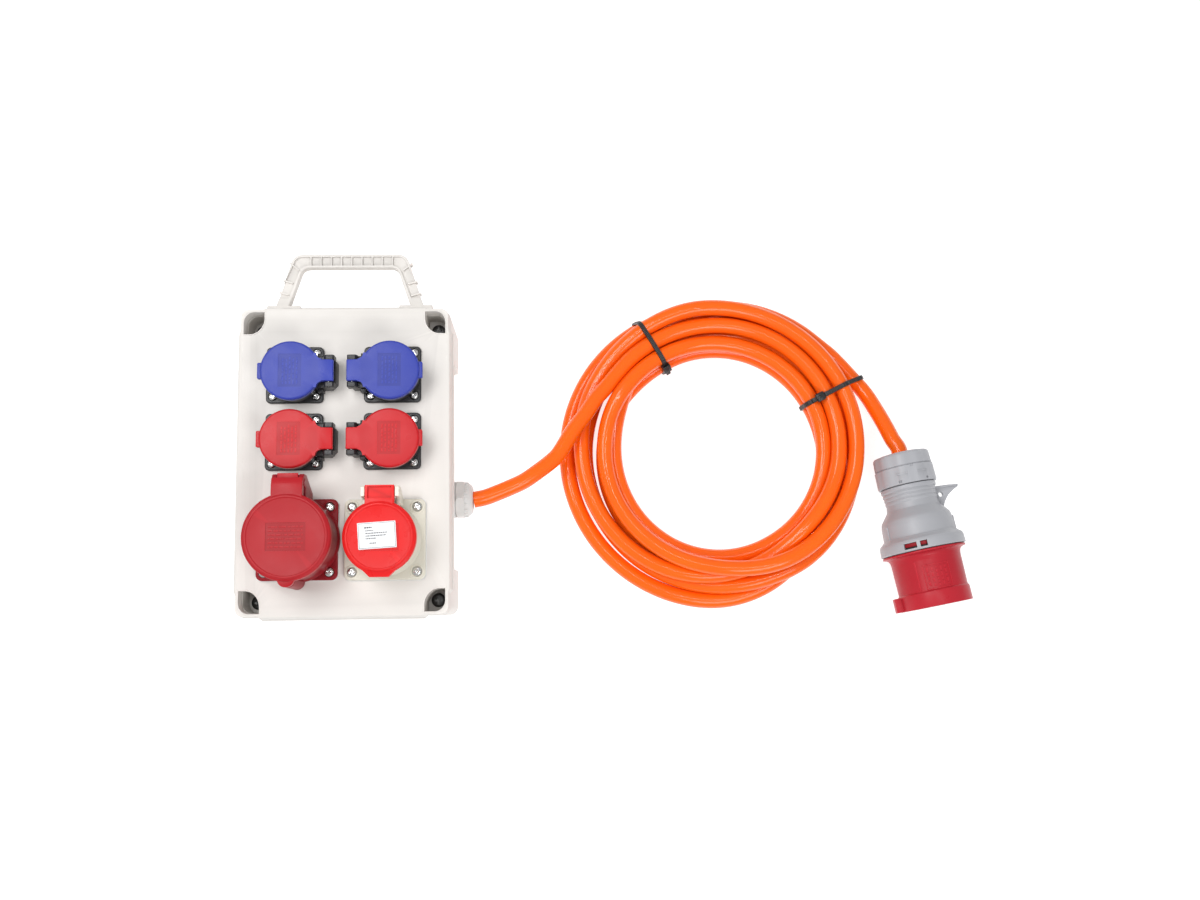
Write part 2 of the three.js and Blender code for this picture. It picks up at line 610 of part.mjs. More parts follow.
// ---------------------------------------------------------------- inside the enclosure
function dinRail() {
  const z0 = WALL + GAP;
  const profile = [
    [-17.5, 7.5], [-17.5, 6.3], [-12.5, 6.3], [-12.5, 0], [12.5, 0], [12.5, 6.3],
    [17.5, 6.3], [17.5, 7.5], [11.3, 7.5], [11.3, 1.2], [-11.3, 1.2], [-11.3, 7.5],
  ];
  return prismX(profile, -60, 60).translate(0, -10, z0);
}

function terminalBlock() {
  const ways = 5;
  const pitch = 10;
  const body = box([-27, 27], [-22, 22], [0, 28]);
  const entries = [];
  for (let i = 0; i < ways; i += 1) {
    entries.push(rodZ(2.6, 20, 30, 6).translate((i - 2) * pitch, 13, 0));
    entries.push(rodZ(2.6, 20, 30, 6).translate((i - 2) * pitch, -13, 0));
  }
  return cut(body, ...entries).translate(0, -10, WALL + GAP + 7.5 + GAP);
}

function wiringLoom() {
  const hub = [0, -10, 52];
  const arrive = WAIST_W / 2 - 11 - GAP;
  const trunk = tube([[arrive, GLAND.y, GLAND.z], [60, -28, 49], [30, -16, 52], hub, [-4, -9, 52]], 6, 8, 8);
  const drop = tube([[0, -10, 54], [0, -10, 45], [0, -10, 39.6]], 5, 2, 8);
  const branch = (x, y, z) => tube([hub, [x * 0.5, y * 0.5 - 5, 51], [x, y, z - 10], [x, y, z - 1]], 3, 5, 6);
  const schuko = schukoPlaces().map(({ x, y }) => branch(x, y, LID_Z1 + SCHUKO.rearZ - GAP));
  const industrial = [CEE_32, CEE_16].map(({ x, y }) => branch(x, y, LID_Z1 + CEE_REAR_Z - GAP));
  return join(trunk, drop, ...schuko, ...industrial);
}

// ---------------------------------------------------------------- cord
function cordCoil() {
  const c = COIL;
  const profile = [
    [c.inner + 4, c.z0], [c.outer - 4, c.z0], [c.outer, c.z0 + 4], [c.outer, c.z1 - c.edge],
    [c.outer - c.edge, c.z1], [c.inner + c.edge, c.z1], [c.inner, c.z1 - c.edge], [c.inner, c.z0 + 4],
  ];
  return closedRing(profile, 36).rotateX(Math.PI / 2).translate(c.x, c.y, 0);
}

// A strap round the coil's section, with its lock on the inner top edge.
function cableTie() {
  const c = COIL;
  const outline = (grow) => {
    const [r0, r1] = [c.inner - grow, c.outer + grow];
    const [z0, z1] = [c.z0 - grow, c.z1 + grow];
    return [[r0, z0], [r1, z0], [r1, z1 - c.edge], [r1 - c.edge, z1], [r0 + c.edge, z1], [r0, z1 - c.edge]];
  };
  const strip = cut(
    prism(polygon(outline(TIE_GAP + TIE_T)), -TIE_W / 2, TIE_W / 2),
    prism(polygon(outline(TIE_GAP)), -TIE_W, TIE_W),
  );
  const lock = box([c.inner + c.edge - 1, c.inner + c.edge + 8], [c.z1 + TIE_GAP, c.z1 + 5.5], [-4, 4]);
  return join(strip, lock).rotateX(Math.PI / 2);
}

function addTies() {
  Object.entries(TIE_ANGLES).forEach(([name, degrees]) => {
    const tie = piece(name, cableTie(), BLACK);
    tie.position.set(COIL.x, COIL.y, 0);
    tie.rotation.z = (degrees * Math.PI) / 180;
  });
}

function tailPoints() {
  const onAxis = (distance) => PLUG_BACK.clone().addScaledVector(PLUG_AXIS, -distance).toArray();
  return [...TAIL_POINTS, onAxis(7), onAxis(GAP)];
}

// ---------------------------------------------------------------- plug
// Turned about its own axis: y runs from the cable end to the open end.
function plugNut() {
  return cut(
    lathe([[0, 0], [24.5, 0], [26.6, 2.5], [28, PLUG_NUT_END], [0, PLUG_NUT_END]], MID),
    rodY(8.2, -OVER, 40, 12),
    rodY(21.5, 7, 40),
  );
}

function plugHousing() {
  const outside = lathe([
    [0, 12], [20.8, 12], [20.8, 30.7], [25.8, 30.7], [25.8, 34.5], [24, 36], [22.8, 48], [23.4, 53],
    [31.6, 58.6], [32.6, 62], [33.8, 78.5], [38.6, 82.2], [39.4, PLUG_HOUSING_END], [0, PLUG_HOUSING_END],
  ]);
  const wing = prism(polygon([
    [20, 36.8], [45.8, 38.6], [46, 40.2], [40, 42.5], [35, 46.2], [29.5, 53], [26, 55.5], [20, 54],
  ]), -3, 3);
  const wingHole = rodZ(2.1, -5, 5, SMALL).translate(28.4, 44.4, 0);
  return cut(
    join(outside, wing),
    rodY(17, 10, 62),
    rodY(PLUG_BORE_R, 60, PLUG_HOUSING_END + OVER, BIG),
    wingHole,
  );
}

function plugShroud() {
  const start = PLUG_HOUSING_END + GAP;
  const outside = lathe([
    [0, start], [38.8, start], [38.8, 95.2], [33.5, 96.2], [32, 98.8], [31.6, 130.4],
    [33, PLUG_RIM_START], [33, PLUG_LENGTH], [0, PLUG_LENGTH],
  ]);
  const key = box([-38.5, -31.6], [PLUG_RIM_START, PLUG_LENGTH], [-4.5, 4.5]);
  return cut(join(outside, key), rodY(PLUG_BORE_R, start - OVER, PLUG_LENGTH + OVER, BIG));
}

const pinPlaces = sleeveAngles.map((angle, i) => ({
  name: `plug_pin_${i + 1}`,
  radius: i === 0 ? 3.6 : 3,
  x: PIN_CIRCLE * Math.cos(angle),
  z: PIN_CIRCLE * Math.sin(angle),
}));

function plugCarrier() {
  const holes = pinPlaces.map(({ radius, x, z }) => (
    rodY(radius + 2 * GAP, PIN_START, CARRIER_END + OVER, SMALL).translate(x, 0, z)));
  return cut(rodY(PLUG_BORE_R - 2 * GAP, CARRIER_START, CARRIER_END, BIG), ...holes);
}

function plugPin(radius) {
  const start = PIN_START + GAP;
  return lathe([
    [0, start], [radius, start], [radius, PIN_END - 2.5], [radius - 1.4, PIN_END], [0, PIN_END],
  ], SMALL);
}

function addPlug() {
  const group = new THREE.Group();
  group.position.copy(PLUG_BACK);
  const side = new THREE.Vector3(-PLUG_AXIS.y, PLUG_AXIS.x, 0).normalize();
  const basis = new THREE.Matrix4().makeBasis(side, PLUG_AXIS, side.clone().cross(PLUG_AXIS));
  group.quaternion.setFromRotationMatrix(basis);
  model.add(group);
  piece('plug_nut', plugNut(), PLUG_GREY, group);
  piece('plug_housing', plugHousing(), PLUG_GREY, group);
  piece('plug_shroud', plugShroud(), RED, group);
  piece('plug_contact_carrier', plugCarrier(), BLACK, group);
  pinPlaces.forEach(({ name, radius, x, z }) => {
    piece(name, plugPin(radius), BRASS, group).position.set(x, 0, z);
  });
}

// ---------------------------------------------------------------- assembly
piece('base_shell', baseShell(), LIGHT_GREY);
piece('lid', lid(), LIGHT_GREY);
piece('lid_gasket', lidGasket(), RUBBER);
CORNERS.forEach(([sx, sy], i) => {
  piece(`lid_screw_${i + 1}`, lidScrew(), STEEL).position.set(sx * WELL_X, sy * WELL_Y, 0);
});
piece('carry_handle', carryHandle(), LIGHT_GREY);
schukoPlaces().forEach(addSchuko);

const nib32 = rodZ(7.2, CEE_32.coverZ0 + 1, CEE_32.coverZ1 - 3, 16).translate(0, -34.4, 0);
const nib16Outline = polygon([[-11, -26], [-6.6, -33.3], [6.6, -33.3], [11, -26]]);
const nib16 = prism(nib16Outline, CEE_16.coverZ0 + 1, CEE_16.coverZ1 - 3);
addCee('cee_32a', CEE_32, CRIMSON, COVER_CRIMSON, nib32);
addCee('cee_16a', CEE_16, IVORY, SIGNAL_RED, nib16);

piece('gland_body', glandBody(), LIGHT_GREY);
piece('gland_nut', glandNut(), LIGHT_GREY);
piece('gland_locknut', glandLocknut(), LIGHT_GREY);
piece('din_rail', dinRail(), STEEL);
piece('terminal_block', terminalBlock(), GREY_INNER);
piece('wiring_loom', wiringLoom(), RUBBER);

piece('cord_lead', toGeometry(toManifold(tube(LEAD_POINTS, CORD_R, 8, 10))), ORANGE);
piece('cord_coil', toGeometry(toManifold(cordCoil())), ORANGE);
piece('cord_tail', toGeometry(toManifold(tube(tailPoints(), CORD_R, 8, 10))), ORANGE);
addTies();
addPlug();

export default model;
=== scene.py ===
import json
import math

import bmesh
import bpy
import numpy as np
from mathutils import Matrix, Vector


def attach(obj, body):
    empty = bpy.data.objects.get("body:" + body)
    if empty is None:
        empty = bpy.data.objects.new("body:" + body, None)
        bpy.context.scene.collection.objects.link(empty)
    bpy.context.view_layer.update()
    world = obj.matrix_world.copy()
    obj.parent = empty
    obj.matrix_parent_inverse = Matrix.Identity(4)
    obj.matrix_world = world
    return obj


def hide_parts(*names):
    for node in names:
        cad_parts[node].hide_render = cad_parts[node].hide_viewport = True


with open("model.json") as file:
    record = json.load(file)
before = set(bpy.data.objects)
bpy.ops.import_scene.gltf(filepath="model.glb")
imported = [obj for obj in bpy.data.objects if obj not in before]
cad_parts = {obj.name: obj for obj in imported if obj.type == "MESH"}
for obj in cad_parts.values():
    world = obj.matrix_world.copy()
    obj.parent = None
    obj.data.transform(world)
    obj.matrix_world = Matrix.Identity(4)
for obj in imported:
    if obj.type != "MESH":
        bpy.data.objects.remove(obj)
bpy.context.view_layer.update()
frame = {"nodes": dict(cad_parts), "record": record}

MM = 0.001
TAU = 2 * math.pi

# ------------------------------------------------------------------ driving sizes, millimetres
LID_TOP = 105.0
LID_W, LID_L = 190.0, 277.0
BASE_W, BASE_L = 185.0, 272.0
WAIST_W = 177.0
COLUMN_Y = 95.0
WELL_SIDE, WELL_LENGTH = 17.7, 19.5
WELL_AT = (79.6, 122.5)
WELL_FLOOR = 66.3
LID_NOTCH = 2.6
SCHUKO_AT = {"blue": 75.2, "red": 16.0}
SCHUKO_X = 42.6
SCHUKO_FLANGE, SCHUKO_SCREWS = 50.0, 19.0  # side of the flange, half the distance between screws
CEE_FLANGE, CEE_SCREWS = 70.0, 28.0
CEE_32 = dict(name="cee_32a", x=-38.5, y=-69.4, collar=35.3, bore=33.3, top=40.5, cover=36.9, low=42.3,
              high=52.0, axis_y=47.9, axis_z=41.5, barrel=4.6, half=8.7, ear=4.2, insert=28.5,
              insert_top=29.0, circle=18.0, sleeve=4.0, bulge=6.7, bulge_y=-35.9)
CEE_16 = dict(name="cee_16a", x=36.8, y=-69.9, collar=30.3, bore=28.6, top=31.7, cover=31.0, low=33.5,
              high=42.0, axis_y=38.9, axis_z=34.5, barrel=4.0, half=12.3, ear=3.6, insert=24.2,
              insert_top=21.0, circle=15.0, sleeve=3.3, bulge=5.0, bulge_y=-27.0)
GLAND_AT = (-31.2, 48.0)
GLAND_END = 109.6

CORD_D = 15.0
CORD_R = CORD_D / 2
COIL_AT = (339.5, 15.5)
TIE_ANGLES = {"cable_tie_1": 121.0, "cable_tie_2": 26.3}
PLUG_BACK = Vector((512.1, 7.9, 34.0))
PLUG_FRONT = Vector((537.7, -134.5, 43.2))
PLUG_AXIS = (PLUG_FRONT - PLUG_BACK).normalized()
PLUG_LENGTH = (PLUG_FRONT - PLUG_BACK).length


# ------------------------------------------------------------------ camera and light
def make_camera():
    camera = bpy.data.objects.new("camera", bpy.data.cameras.new("camera"))
    camera.data.sensor_width = 36.0
    camera.data.lens = 37.2
    camera.data.clip_start = 0.01
    camera.location = (0.17934, -0.13171, 1.18914)
    camera.rotation_euler = [math.radians(a) for a in (7.297, -2.273, -0.878)]
    bpy.context.scene.collection.objects.link(camera)
    bpy.context.scene.camera = camera


def softbox(name, location, size, power, aim=(0.2, 0.0, 0.0)):
    light = bpy.data.objects.new(name, bpy.data.lights.new(name, "AREA"))
    light.data.shape = "RECTANGLE"
    light.data.size, light.data.size_y = size
    light.data.energy = power
    light.location = location
    light.rotation_euler = (Vector(aim) - Vector(location)).to_track_quat("-Z", "Y").to_euler()
    bpy.context.scene.collection.objects.link(light)


def make_studio():
    scene = bpy.context.scene
    scene.view_settings.view_transform = "Standard"
    scene.world = bpy.data.worlds.new("studio")
    scene.world.use_nodes = True
    background = scene.world.node_tree.nodes["Background"]
    background.inputs["Color"].default_value = (1.0, 1.0, 1.0, 1.0)
    background.inputs["Strength"].default_value = 0.47
    softbox("key", (-0.45, 0.3, 1.4), (0.9, 0.5), 10.5)
    softbox("fill", (0.7, -0.95, 1.3), (0.9, 0.6), 9.0)
    softbox("strip", (0.25, 0.1, 1.9), (1.2, 0.06), 5.0)


# ------------------------------------------------------------------ materials
def shader(name):
    material = bpy.data.materials.new(name)
    material.use_nodes = True
    tree = material.node_tree
    bsdf = tree.nodes["Principled BSDF"]

    def node(kind, **values):
        made = tree.nodes.new(kind)
        for key, value in values.items():
            if hasattr(made, key):
                setattr(made, key, value)
            else:
                made.inputs[key.replace("_", " ").title()].default_value = value
        return made

    return material, tree, bsdf, node


def spots(tree, node, place, scale, detail, low, high, to_low, to_high):
    """Noise at a scale per metre, mapped from low..high to to_low..to_high."""
    noise = node("ShaderNodeTexNoise", Scale=scale, Detail=detail)
    tree.links.new(place.outputs["Object"], noise.inputs["Vector"])
    ranged = node("ShaderNodeMapRange")
    for key, value in (("From Min", low), ("From Max", high), ("To Min", to_low), ("To Max", to_high)):
        ranged.inputs[key].default_value = value
    tree.links.new(noise.outputs["Fac"], ranged.inputs["Value"])
    return ranged.outputs["Result"]


def mixed(tree, node, factor, first, second, blend="MIX"):
    mix = node("ShaderNodeMix", data_type="RGBA", blend_type=blend)
    for socket, value in ((mix.inputs["Factor"], factor), (mix.inputs[6], first), (mix.inputs[7], second)):
        if isinstance(value, (tuple, float)):
            socket.default_value = value
        else:
            tree.links.new(value, socket)
    return mix.outputs[2]


def shade(color, factor):
    return tuple(min(1.0, c * factor) for c in color) + (1.0,)


def moulded(name, color, rough=0.4, grain=1500.0, depth=0.03, tone=0.06, wear=0.25, hollow_shade=0.25,
            coat=0.0, subsurface=0.0, metal=0.0, gloss=0.5):
    """Moulded or metal surface: broad tone drift, fine grain, pale worn edges and painted shade darkening the
    hollows.
    """
    material, tree, bsdf, node = shader(name)
    place = node("ShaderNodeTexCoord")
    drift = spots(tree, node, place, 22.0, 4.0, 0.3, 0.7, 0.0, 1.0)
    base = mixed(tree, node, drift, shade(color, 1 - tone), shade(color, 1 + tone))
    flecks = spots(tree, node, place, 420.0, 2.0, 0.62, 0.8, 0.0, 0.5)
    base = mixed(tree, node, flecks, base, shade(color, 1 - 2 * tone))
    edge = node("ShaderNodeNewGeometry").outputs["Pointiness"]
    # Pointiness: convex edges turn paler with wear; hollows and creases get painted shade, a darker base
    # colour.
    for low, high, strength, tint in ((0.505, 0.58, wear, 1.35), (0.495, 0.42, hollow_shade, 0.45)):
        picked = node("ShaderNodeMapRange")
        for key, value in (("From Min", low), ("From Max", high), ("To Min", 0.0), ("To Max", strength)):
            picked.inputs[key].default_value = value
        tree.links.new(edge, picked.inputs["Value"])
        base = mixed(tree, node, picked.outputs["Result"], base, shade(color, tint))
    tree.links.new(base, bsdf.inputs["Base Color"])
    smear = spots(tree, node, place, 60.0, 5.0, 0.3, 0.75, max(0.05, rough - 0.07), rough + 0.08)
    tree.links.new(smear, bsdf.inputs["Roughness"])
    grit = node("ShaderNodeTexNoise", Scale=grain, Detail=3.0)
    tree.links.new(place.outputs["Object"], grit.inputs["Vector"])
    bump = node("ShaderNodeBump")
    bump.inputs["Strength"].default_value = depth * 10
    bump.inputs["Distance"].default_value = 0.00012
    tree.links.new(grit.outputs["Fac"], bump.inputs["Height"])
    tree.links.new(bump.outputs["Normal"], bsdf.inputs["Normal"])
    bsdf.inputs["Metallic"].default_value = metal
    bsdf.inputs["Specular IOR Level"].default_value = gloss
    bsdf.inputs["Coat Weight"].default_value = coat
    bsdf.inputs["Coat Roughness"].default_value = 0.12
    if subsurface:
        bsdf.inputs["Subsurface Weight"].default_value = subsurface
        bsdf.inputs["Subsurface Radius"].default_value = (0.004, 0.002, 0.001)
        bsdf.inputs["Subsurface Scale"].default_value = 0.5
    return material


STEEL = dict(grain=2400.0, depth=0.02, tone=0.05, metal=1.0)
BRIGHT = dict(grain=1500.0, depth=0.025, tone=0.05, wear=0.35, hollow_shade=0.3, gloss=0.2)
CRIMSON = dict(rough=0.36, grain=1300.0, wear=0.4, hollow_shade=0.3, gloss=0.2)
# hollow_shade in each finish sets how strongly painted shade darkens its hollows.
FINISHES = {
    "enclosure_grey": ((0.72, 0.69, 0.655), dict(rough=0.5, grain=900.0, depth=0.045, tone=0.02, wear=0.3)),
    "gland_grey": ((0.72, 0.715, 0.70), dict(rough=0.38, grain=1200.0, depth=0.02, tone=0.02, wear=0.3,
                                             hollow_shade=0.3)),
    "seal_rubber": ((0.022, 0.022, 0.023), dict(rough=0.75, grain=700.0, depth=0.05)),
    "screw_steel": ((0.66, 0.66, 0.65), dict(STEEL, rough=0.24)),
    # Darkened steel for the lid screws: painted shade standing for the shadow at the bottom of the deep
    # wells.
    "shade_darkened_steel": ((0.1, 0.1, 0.1), dict(STEEL, rough=0.35)),
    "outlet_black": ((0.018, 0.018, 0.02), dict(rough=0.42, grain=1300.0, depth=0.04, tone=0.1, wear=0.6,
                                                hollow_shade=0.2)),
    "cover_blue": ((0.038, 0.056, 0.345), dict(BRIGHT, rough=0.33)),
    "cover_red": ((0.51, 0.014, 0.019), dict(BRIGHT, rough=0.33)),
    "hinge_steel": ((0.6, 0.6, 0.61), dict(STEEL, rough=0.28)),
    "body_crimson": ((0.28, 0.009, 0.016), dict(CRIMSON)),
    "cover_crimson": ((0.39, 0.012, 0.018), dict(CRIMSON, tone=0.05, wear=0.35)),
    "body_ivory": ((0.74, 0.71, 0.61), dict(rough=0.38, grain=1300.0, depth=0.025, tone=0.025, wear=0.3)),
    "cover_signal_red": ((0.7, 0.014, 0.014), dict(BRIGHT, rough=0.3, depth=0.02, tone=0.04, wear=0.3)),
    "insert_black": ((0.016, 0.016, 0.017), dict(rough=0.5, grain=1200.0, depth=0.04, tone=0.1, wear=0.5,
                                                 hollow_shade=0.2)),
    "rail_steel": ((0.6, 0.6, 0.58), dict(rough=0.35, grain=1800.0, metal=1.0)),
    "terminal_grey": ((0.3, 0.3, 0.31), dict(rough=0.5, grain=1200.0)),
    "wire_jacket": ((0.02, 0.02, 0.021), dict(rough=0.45, grain=900.0)),
    "cord_orange": ((0.97, 0.135, 0.005), dict(rough=0.17, grain=300.0, depth=0.006, tone=0.04, wear=0.0,
                                               hollow_shade=0.3, coat=0.35, subsurface=0.04, gloss=0.18)),
    "tie_black": ((0.014, 0.014, 0.015), dict(rough=0.34, grain=900.0, tone=0.1, wear=0.7, hollow_shade=0.2)),
    "plug_grey": ((0.385, 0.39, 0.415), dict(rough=0.42, grain=1100.0, depth=0.04, tone=0.03, wear=0.35,
                                             hollow_shade=0.35)),
    "plug_red": ((0.45, 0.02, 0.032), dict(CRIMSON, rough=0.34, tone=0.05)),
    "contact_brass": ((0.78, 0.6, 0.3), dict(STEEL, rough=0.25, grain=2200.0)),
    "label_paper": ((0.82, 0.83, 0.85), dict(rough=0.45, grain=2000.0, depth=0.02, tone=0.02, wear=0.0,
                                             hollow_shade=0.0)),
    "label_ink": ((0.1, 0.1, 0.11), dict(rough=0.6, grain=2000.0, depth=0.02, tone=0.1, wear=0.0, hollow_shade=0.0)),
}
FINISH = {name: moulded(name, color, **values) for name, (color, values) in FINISHES.items()}


# ------------------------------------------------------------------ outlines and solids
def arc(cx, cy, radius, start, end, steps=8):
    """Points along an arc, degrees, both ends included."""
    turn = (math.radians(start + (end - start) * i / steps) for i in range(steps + 1))
    return [(cx + radius * math.cos(a), cy + radius * math.sin(a)) for a in turn]


def rounded_rect(width, length, radius, steps=8):
    x, y = width / 2 - radius, length / 2 - radius
    corners = ((x, y, 0), (-x, y, 90), (-x, -y, 180), (x, -y, 270))
    return [p for cx, cy, a in corners for p in arc(cx, cy, radius, a, a + 90, steps)]


def clean(outline):
    kept = []
    for p in outline:
        if not kept or math.dist(p, kept[-1]) > 1e-3:
            kept.append(p)
    if math.dist(kept[0], kept[-1]) < 1e-3:
        kept.pop()
    return kept


def inset(outline, depth):
    """The outline moved inwards; it runs anticlockwise."""
    moved = []
    count = len(outline)
    for i, (x, y) in enumerate(outline):
        before, after = outline[i - 1], outline[(i + 1) % count]
        a = Vector((x - before[0], y - before[1])).normalized()
        b = Vector((after[0] - x, after[1] - y)).normalized()
        normal = Vector((-a.y - b.y, a.x + b.x))
        normal /= max(normal.length_squared / 2, 0.4)
        moved.append((x + normal.x * depth, y + normal.y * depth))
    return moved


def loft(rings, closed=False):
    """A closed solid through rings of points, each with the same count."""
    bm = bmesh.new()
    made = [[bm.verts.new(p) for p in ring] for ring in rings]
    pairs = zip(made, made[1:] + made[:1]) if closed else zip(made, made[1:])
    for low, high in pairs:
        for i in range(len(low)):
            j = (i + 1) % len(low)
            bm.faces.new((low[i], low[j], high[j], high[i]))
    if not closed:
        bm.faces.new(made[0][::-1])
        bm.faces.new(made[-1])
    return bm


def stack(outline, levels):
    """A solid from (height, inset) levels of one outline, bottom to top."""
    outline = clean(outline)
    return loft([[(x, y, z) for x, y in inset(outline, depth)] for z, depth in levels])


def slab(outline, low, high, edge=0.6, foot=0.0, steps=3):
    """A plate with a rounded top edge, and a rounded bottom edge where foot isn't zero."""
    levels = []
    if foot:
        levels += [(low + foot * (1 - math.sin(a)), foot * (1 - math.cos(a)))
                   for a in (math.pi / 2 * (1 - i / steps) for i in range(steps + 1))]
    else:
        levels.append((low, 0.0))
    levels += [(high - edge * (1 - math.sin(a)), edge * (1 - math.cos(a)))
               for a in (math.pi / 2 * i / steps for i in range(steps + 1))]
    return stack(outline, levels)


def block(x0, x1, y0, y1, z0, z1, edge=0.3, foot=0.0, corner=0.4):
    outline = rounded_rect(x1 - x0, y1 - y0, min(corner, (x1 - x0) / 2.1, (y1 - y0) / 2.1), 3)
    bm = slab(outline, z0, z1, edge, foot)
    return moved(bm, ((x0 + x1) / 2, (y0 + y1) / 2, 0))


def smooth_profile(points, radius=0.5, steps=3):
    """Rounds the corners of an open or closed profile of (radius, height) points."""
    out = [points[0]]
    for before, here, after in zip(points, points[1:], points[2:]):
        a, b, c = Vector(before), Vector(here), Vector(after)
        reach = min(radius, (a - b).length * 0.45, (c - b).length * 0.45)
        start, end = b + (a - b).normalized() * reach, b + (c - b).normalized() * reach
        for i in range(steps + 1):
            t = i / steps
            out.append(tuple(start * (1 - t) ** 2 + b * 2 * t * (1 - t) + end * t ** 2))
    return out + [points[-1]]


def lathe(profile, radius=0.5, sides=96, ring=False):
    """Turns a (radius, height) profile round Z. A ring closes on itself, else it meets the axis."""
    if ring:
        middle = tuple((Vector(profile[0]) + Vector(profile[-1])) / 2)
        rounded = smooth_profile([middle, *profile, middle], radius)[:-1]
    else:
        rounded = smooth_profile(profile, radius)
    bm = bmesh.new()
    made = []
    for r, z in rounded:
        if r < 1e-4:
            made.append([bm.verts.new((0, 0, z))] * sides)
        else:
            made.append([bm.verts.new((r * math.cos(TAU * i / sides), r * math.sin(TAU * i / sides), z))
                         for i in range(sides)])
    pairs = list(zip(made, made[1:])) + ([(made[-1], made[0])] if ring else [])
    for low, high in pairs:
        for i in range(sides):
            j = (i + 1) % sides
            corners = list(dict.fromkeys((low[i], low[j], high[j], high[i])))
            if len(corners) > 2:
                bm.faces.new(corners)
    return bm


def rod(radius, low, high, edge=0.3, sides=64):
    return lathe([(0, low), (radius, low), (radius, high), (0, high)], edge, sides)


def moved(bm, offset=(0, 0, 0), turn=0.0, axis="Z"):
    bm.transform(Matrix.Translation(offset) @ Matrix.Rotation(math.radians(turn), 4, axis))
    return bm


def at_squares(make, half):
    """A shape from make() at the four corners of a square, half its side from the middle."""
    return [moved(make(), (x, y, 0)) for x, y in square(half)]


def square(half):
    return [(x, y) for x in (-half, half) for y in (-half, half)]


def prism_x(outline, x0, x1, edge=0.5):
    """An outline drawn in Y and Z, extruded along X."""
    bm = slab(outline, x0, x1, edge, edge)
    bm.transform(Matrix(((0, 0, 1, 0), (1, 0, 0, 0), (0, 1, 0, 0), (0, 0, 0, 1))))
    return bm


def prism_y(outline, y0, y1, edge=0.5):
    """An outline drawn in X and Z, anticlockwise seen from -Y, extruded along Y."""
    bm = slab(outline, -y1, -y0, edge, edge)
    bm.transform(Matrix(((1, 0, 0, 0), (0, 0, -1, 0), (0, 1, 0, 0), (0, 0, 0, 1))))
    return bm


BEVEL_ANGLE = 38.0


def raw_object(bm, name="tool"):
    bmesh.ops.remove_doubles(bm, verts=bm.verts, dist=1e-4)
    bmesh.ops.recalc_face_normals(bm, faces=bm.faces)
    mesh = bpy.data.meshes.new(name)
    bm.to_mesh(mesh)
    bm.free()
    made = bpy.data.objects.new(name, mesh)
    bpy.context.scene.collection.objects.link(made)
    return made


def solid(adds, cuts=(), bevel=0.0, common=()):
    """Joins shapes, takes cuts away, keeps what is in common, and rounds what stays sharp."""
    target = raw_object(adds[0])
    tools = []
    for operation, shapes in (("UNION", adds[1:]), ("DIFFERENCE", cuts), ("INTERSECT", common)):
        for shape in shapes:
            tool = raw_object(shape)
            tools.append(tool)
            modifier = target.modifiers.new("cut", "BOOLEAN")
            modifier.operation = operation
            modifier.object = tool
            modifier.solver = "EXACT"
    if bevel:
        modifier = target.modifiers.new("bevel", "BEVEL")
        modifier.width = bevel
        modifier.segments = 2
        modifier.limit_method = "ANGLE"
        modifier.angle_limit = math.radians(BEVEL_ANGLE)
        modifier.use_clamp_overlap = True
    shaped = target.evaluated_get(bpy.context.evaluated_depsgraph_get())
    mesh = bpy.data.meshes.new_from_object(shaped)
    for used in [target, *tools]:
        bpy.data.objects.remove(used)
    bm = bmesh.new()
    bm.from_mesh(mesh)
    return bm


def together(*shapes):
    """Separate shapes as one bmesh."""
    whole = bmesh.new()
    for shape in shapes:
        mesh = bpy.data.meshes.new("part")
        shape.to_mesh(mesh)
        shape.free()
        whole.from_mesh(mesh)
        bpy.data.meshes.remove(mesh)
    return whole


def piece(name, bm, slot, body="root", nodes=(), place=None, sharp=32.0, look=None):
    """Puts a shape in the scene in metres, riding on a body and standing for its CAD nodes."""
    made = raw_object(bm, name)
    mesh = made.data
    mesh.transform(Matrix.Scale(MM, 4) @ (place or Matrix.Identity(4)))
    mesh.polygons.foreach_set("use_smooth", [True] * len(mesh.polygons))
    mesh.set_sharp_from_angle(angle=math.radians(sharp))
    mesh.materials.append(FINISH[look or slot])
    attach(made, body)
    if nodes:
        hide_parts(*nodes)
    return made


# ------------------------------------------------------------------ cord
LEAD_POINTS = [
    (109.9, -31.2, 48.0), (121.0, -28.9, 48.0), (131.5, -25.0, 47.6), (144.0, -19.8, 46.7),
    (156.2, -14.0, 45.4), (169.0, -5.2, 43.8), (180.8, 4.0, 42.0), (189.0, 12.3, 40.6),
]
TAIL_POINTS = [
    (478.4, 82.3, 10.0), (484.2, 75.1, 11.0), (489.4, 66.5, 13.4), (494.1, 56.1, 17.3),
    (498.4, 45.4, 22.0), (502.5, 34.2, 26.7), (506.4, 23.2, 30.8),
]
# Where each turn crosses the left, top, right and bottom of the coil: (radius, height).
TURNS = [
    ((147, 40), (125, 31), (115, 30), (126, 22)),
    ((127, 24), (135, 29), (136, 33), (107, 34)),
    ((108, 26), (103, 23), (103, 24), (103, 20)),
    ((95, 20), (113, 13), (118, 9), (121, 8)),
    ((106, 8), (103, 8), (103, 8), (136, 9)),
    ((146, 9), (127, 8), (133, 9), (126, 9)),
    ((124, 9), (135, 9)),
]
LEAD_OVER = ((15, 130, 37), (30, 121, 35), (50, 117, 33))  # progress, radius, height over the coil
TAIL_OUT = ((2160 + 128, 144, 9.5), (2160 + 146, 150, 9.6))
STEPS_PER_TURN = 48
HELD_STEPS = 5


def coil_targets():
    knots = [(turn * 360 + quarter * 90, r, z) for turn, row in enumerate(TURNS)
             for quarter, (r, z) in enumerate(row)]
    knots = sorted([*knots, *LEAD_OVER, *TAIL_OUT])
    step = 360 / STEPS_PER_TURN
    progress = np.arange(step, knots[-1][0] + 1, step)
    angle, radius, height = (np.array(column, float) for column in zip(*knots))
    return progress, np.interp(progress, angle, radius), np.interp(progress, angle, height)


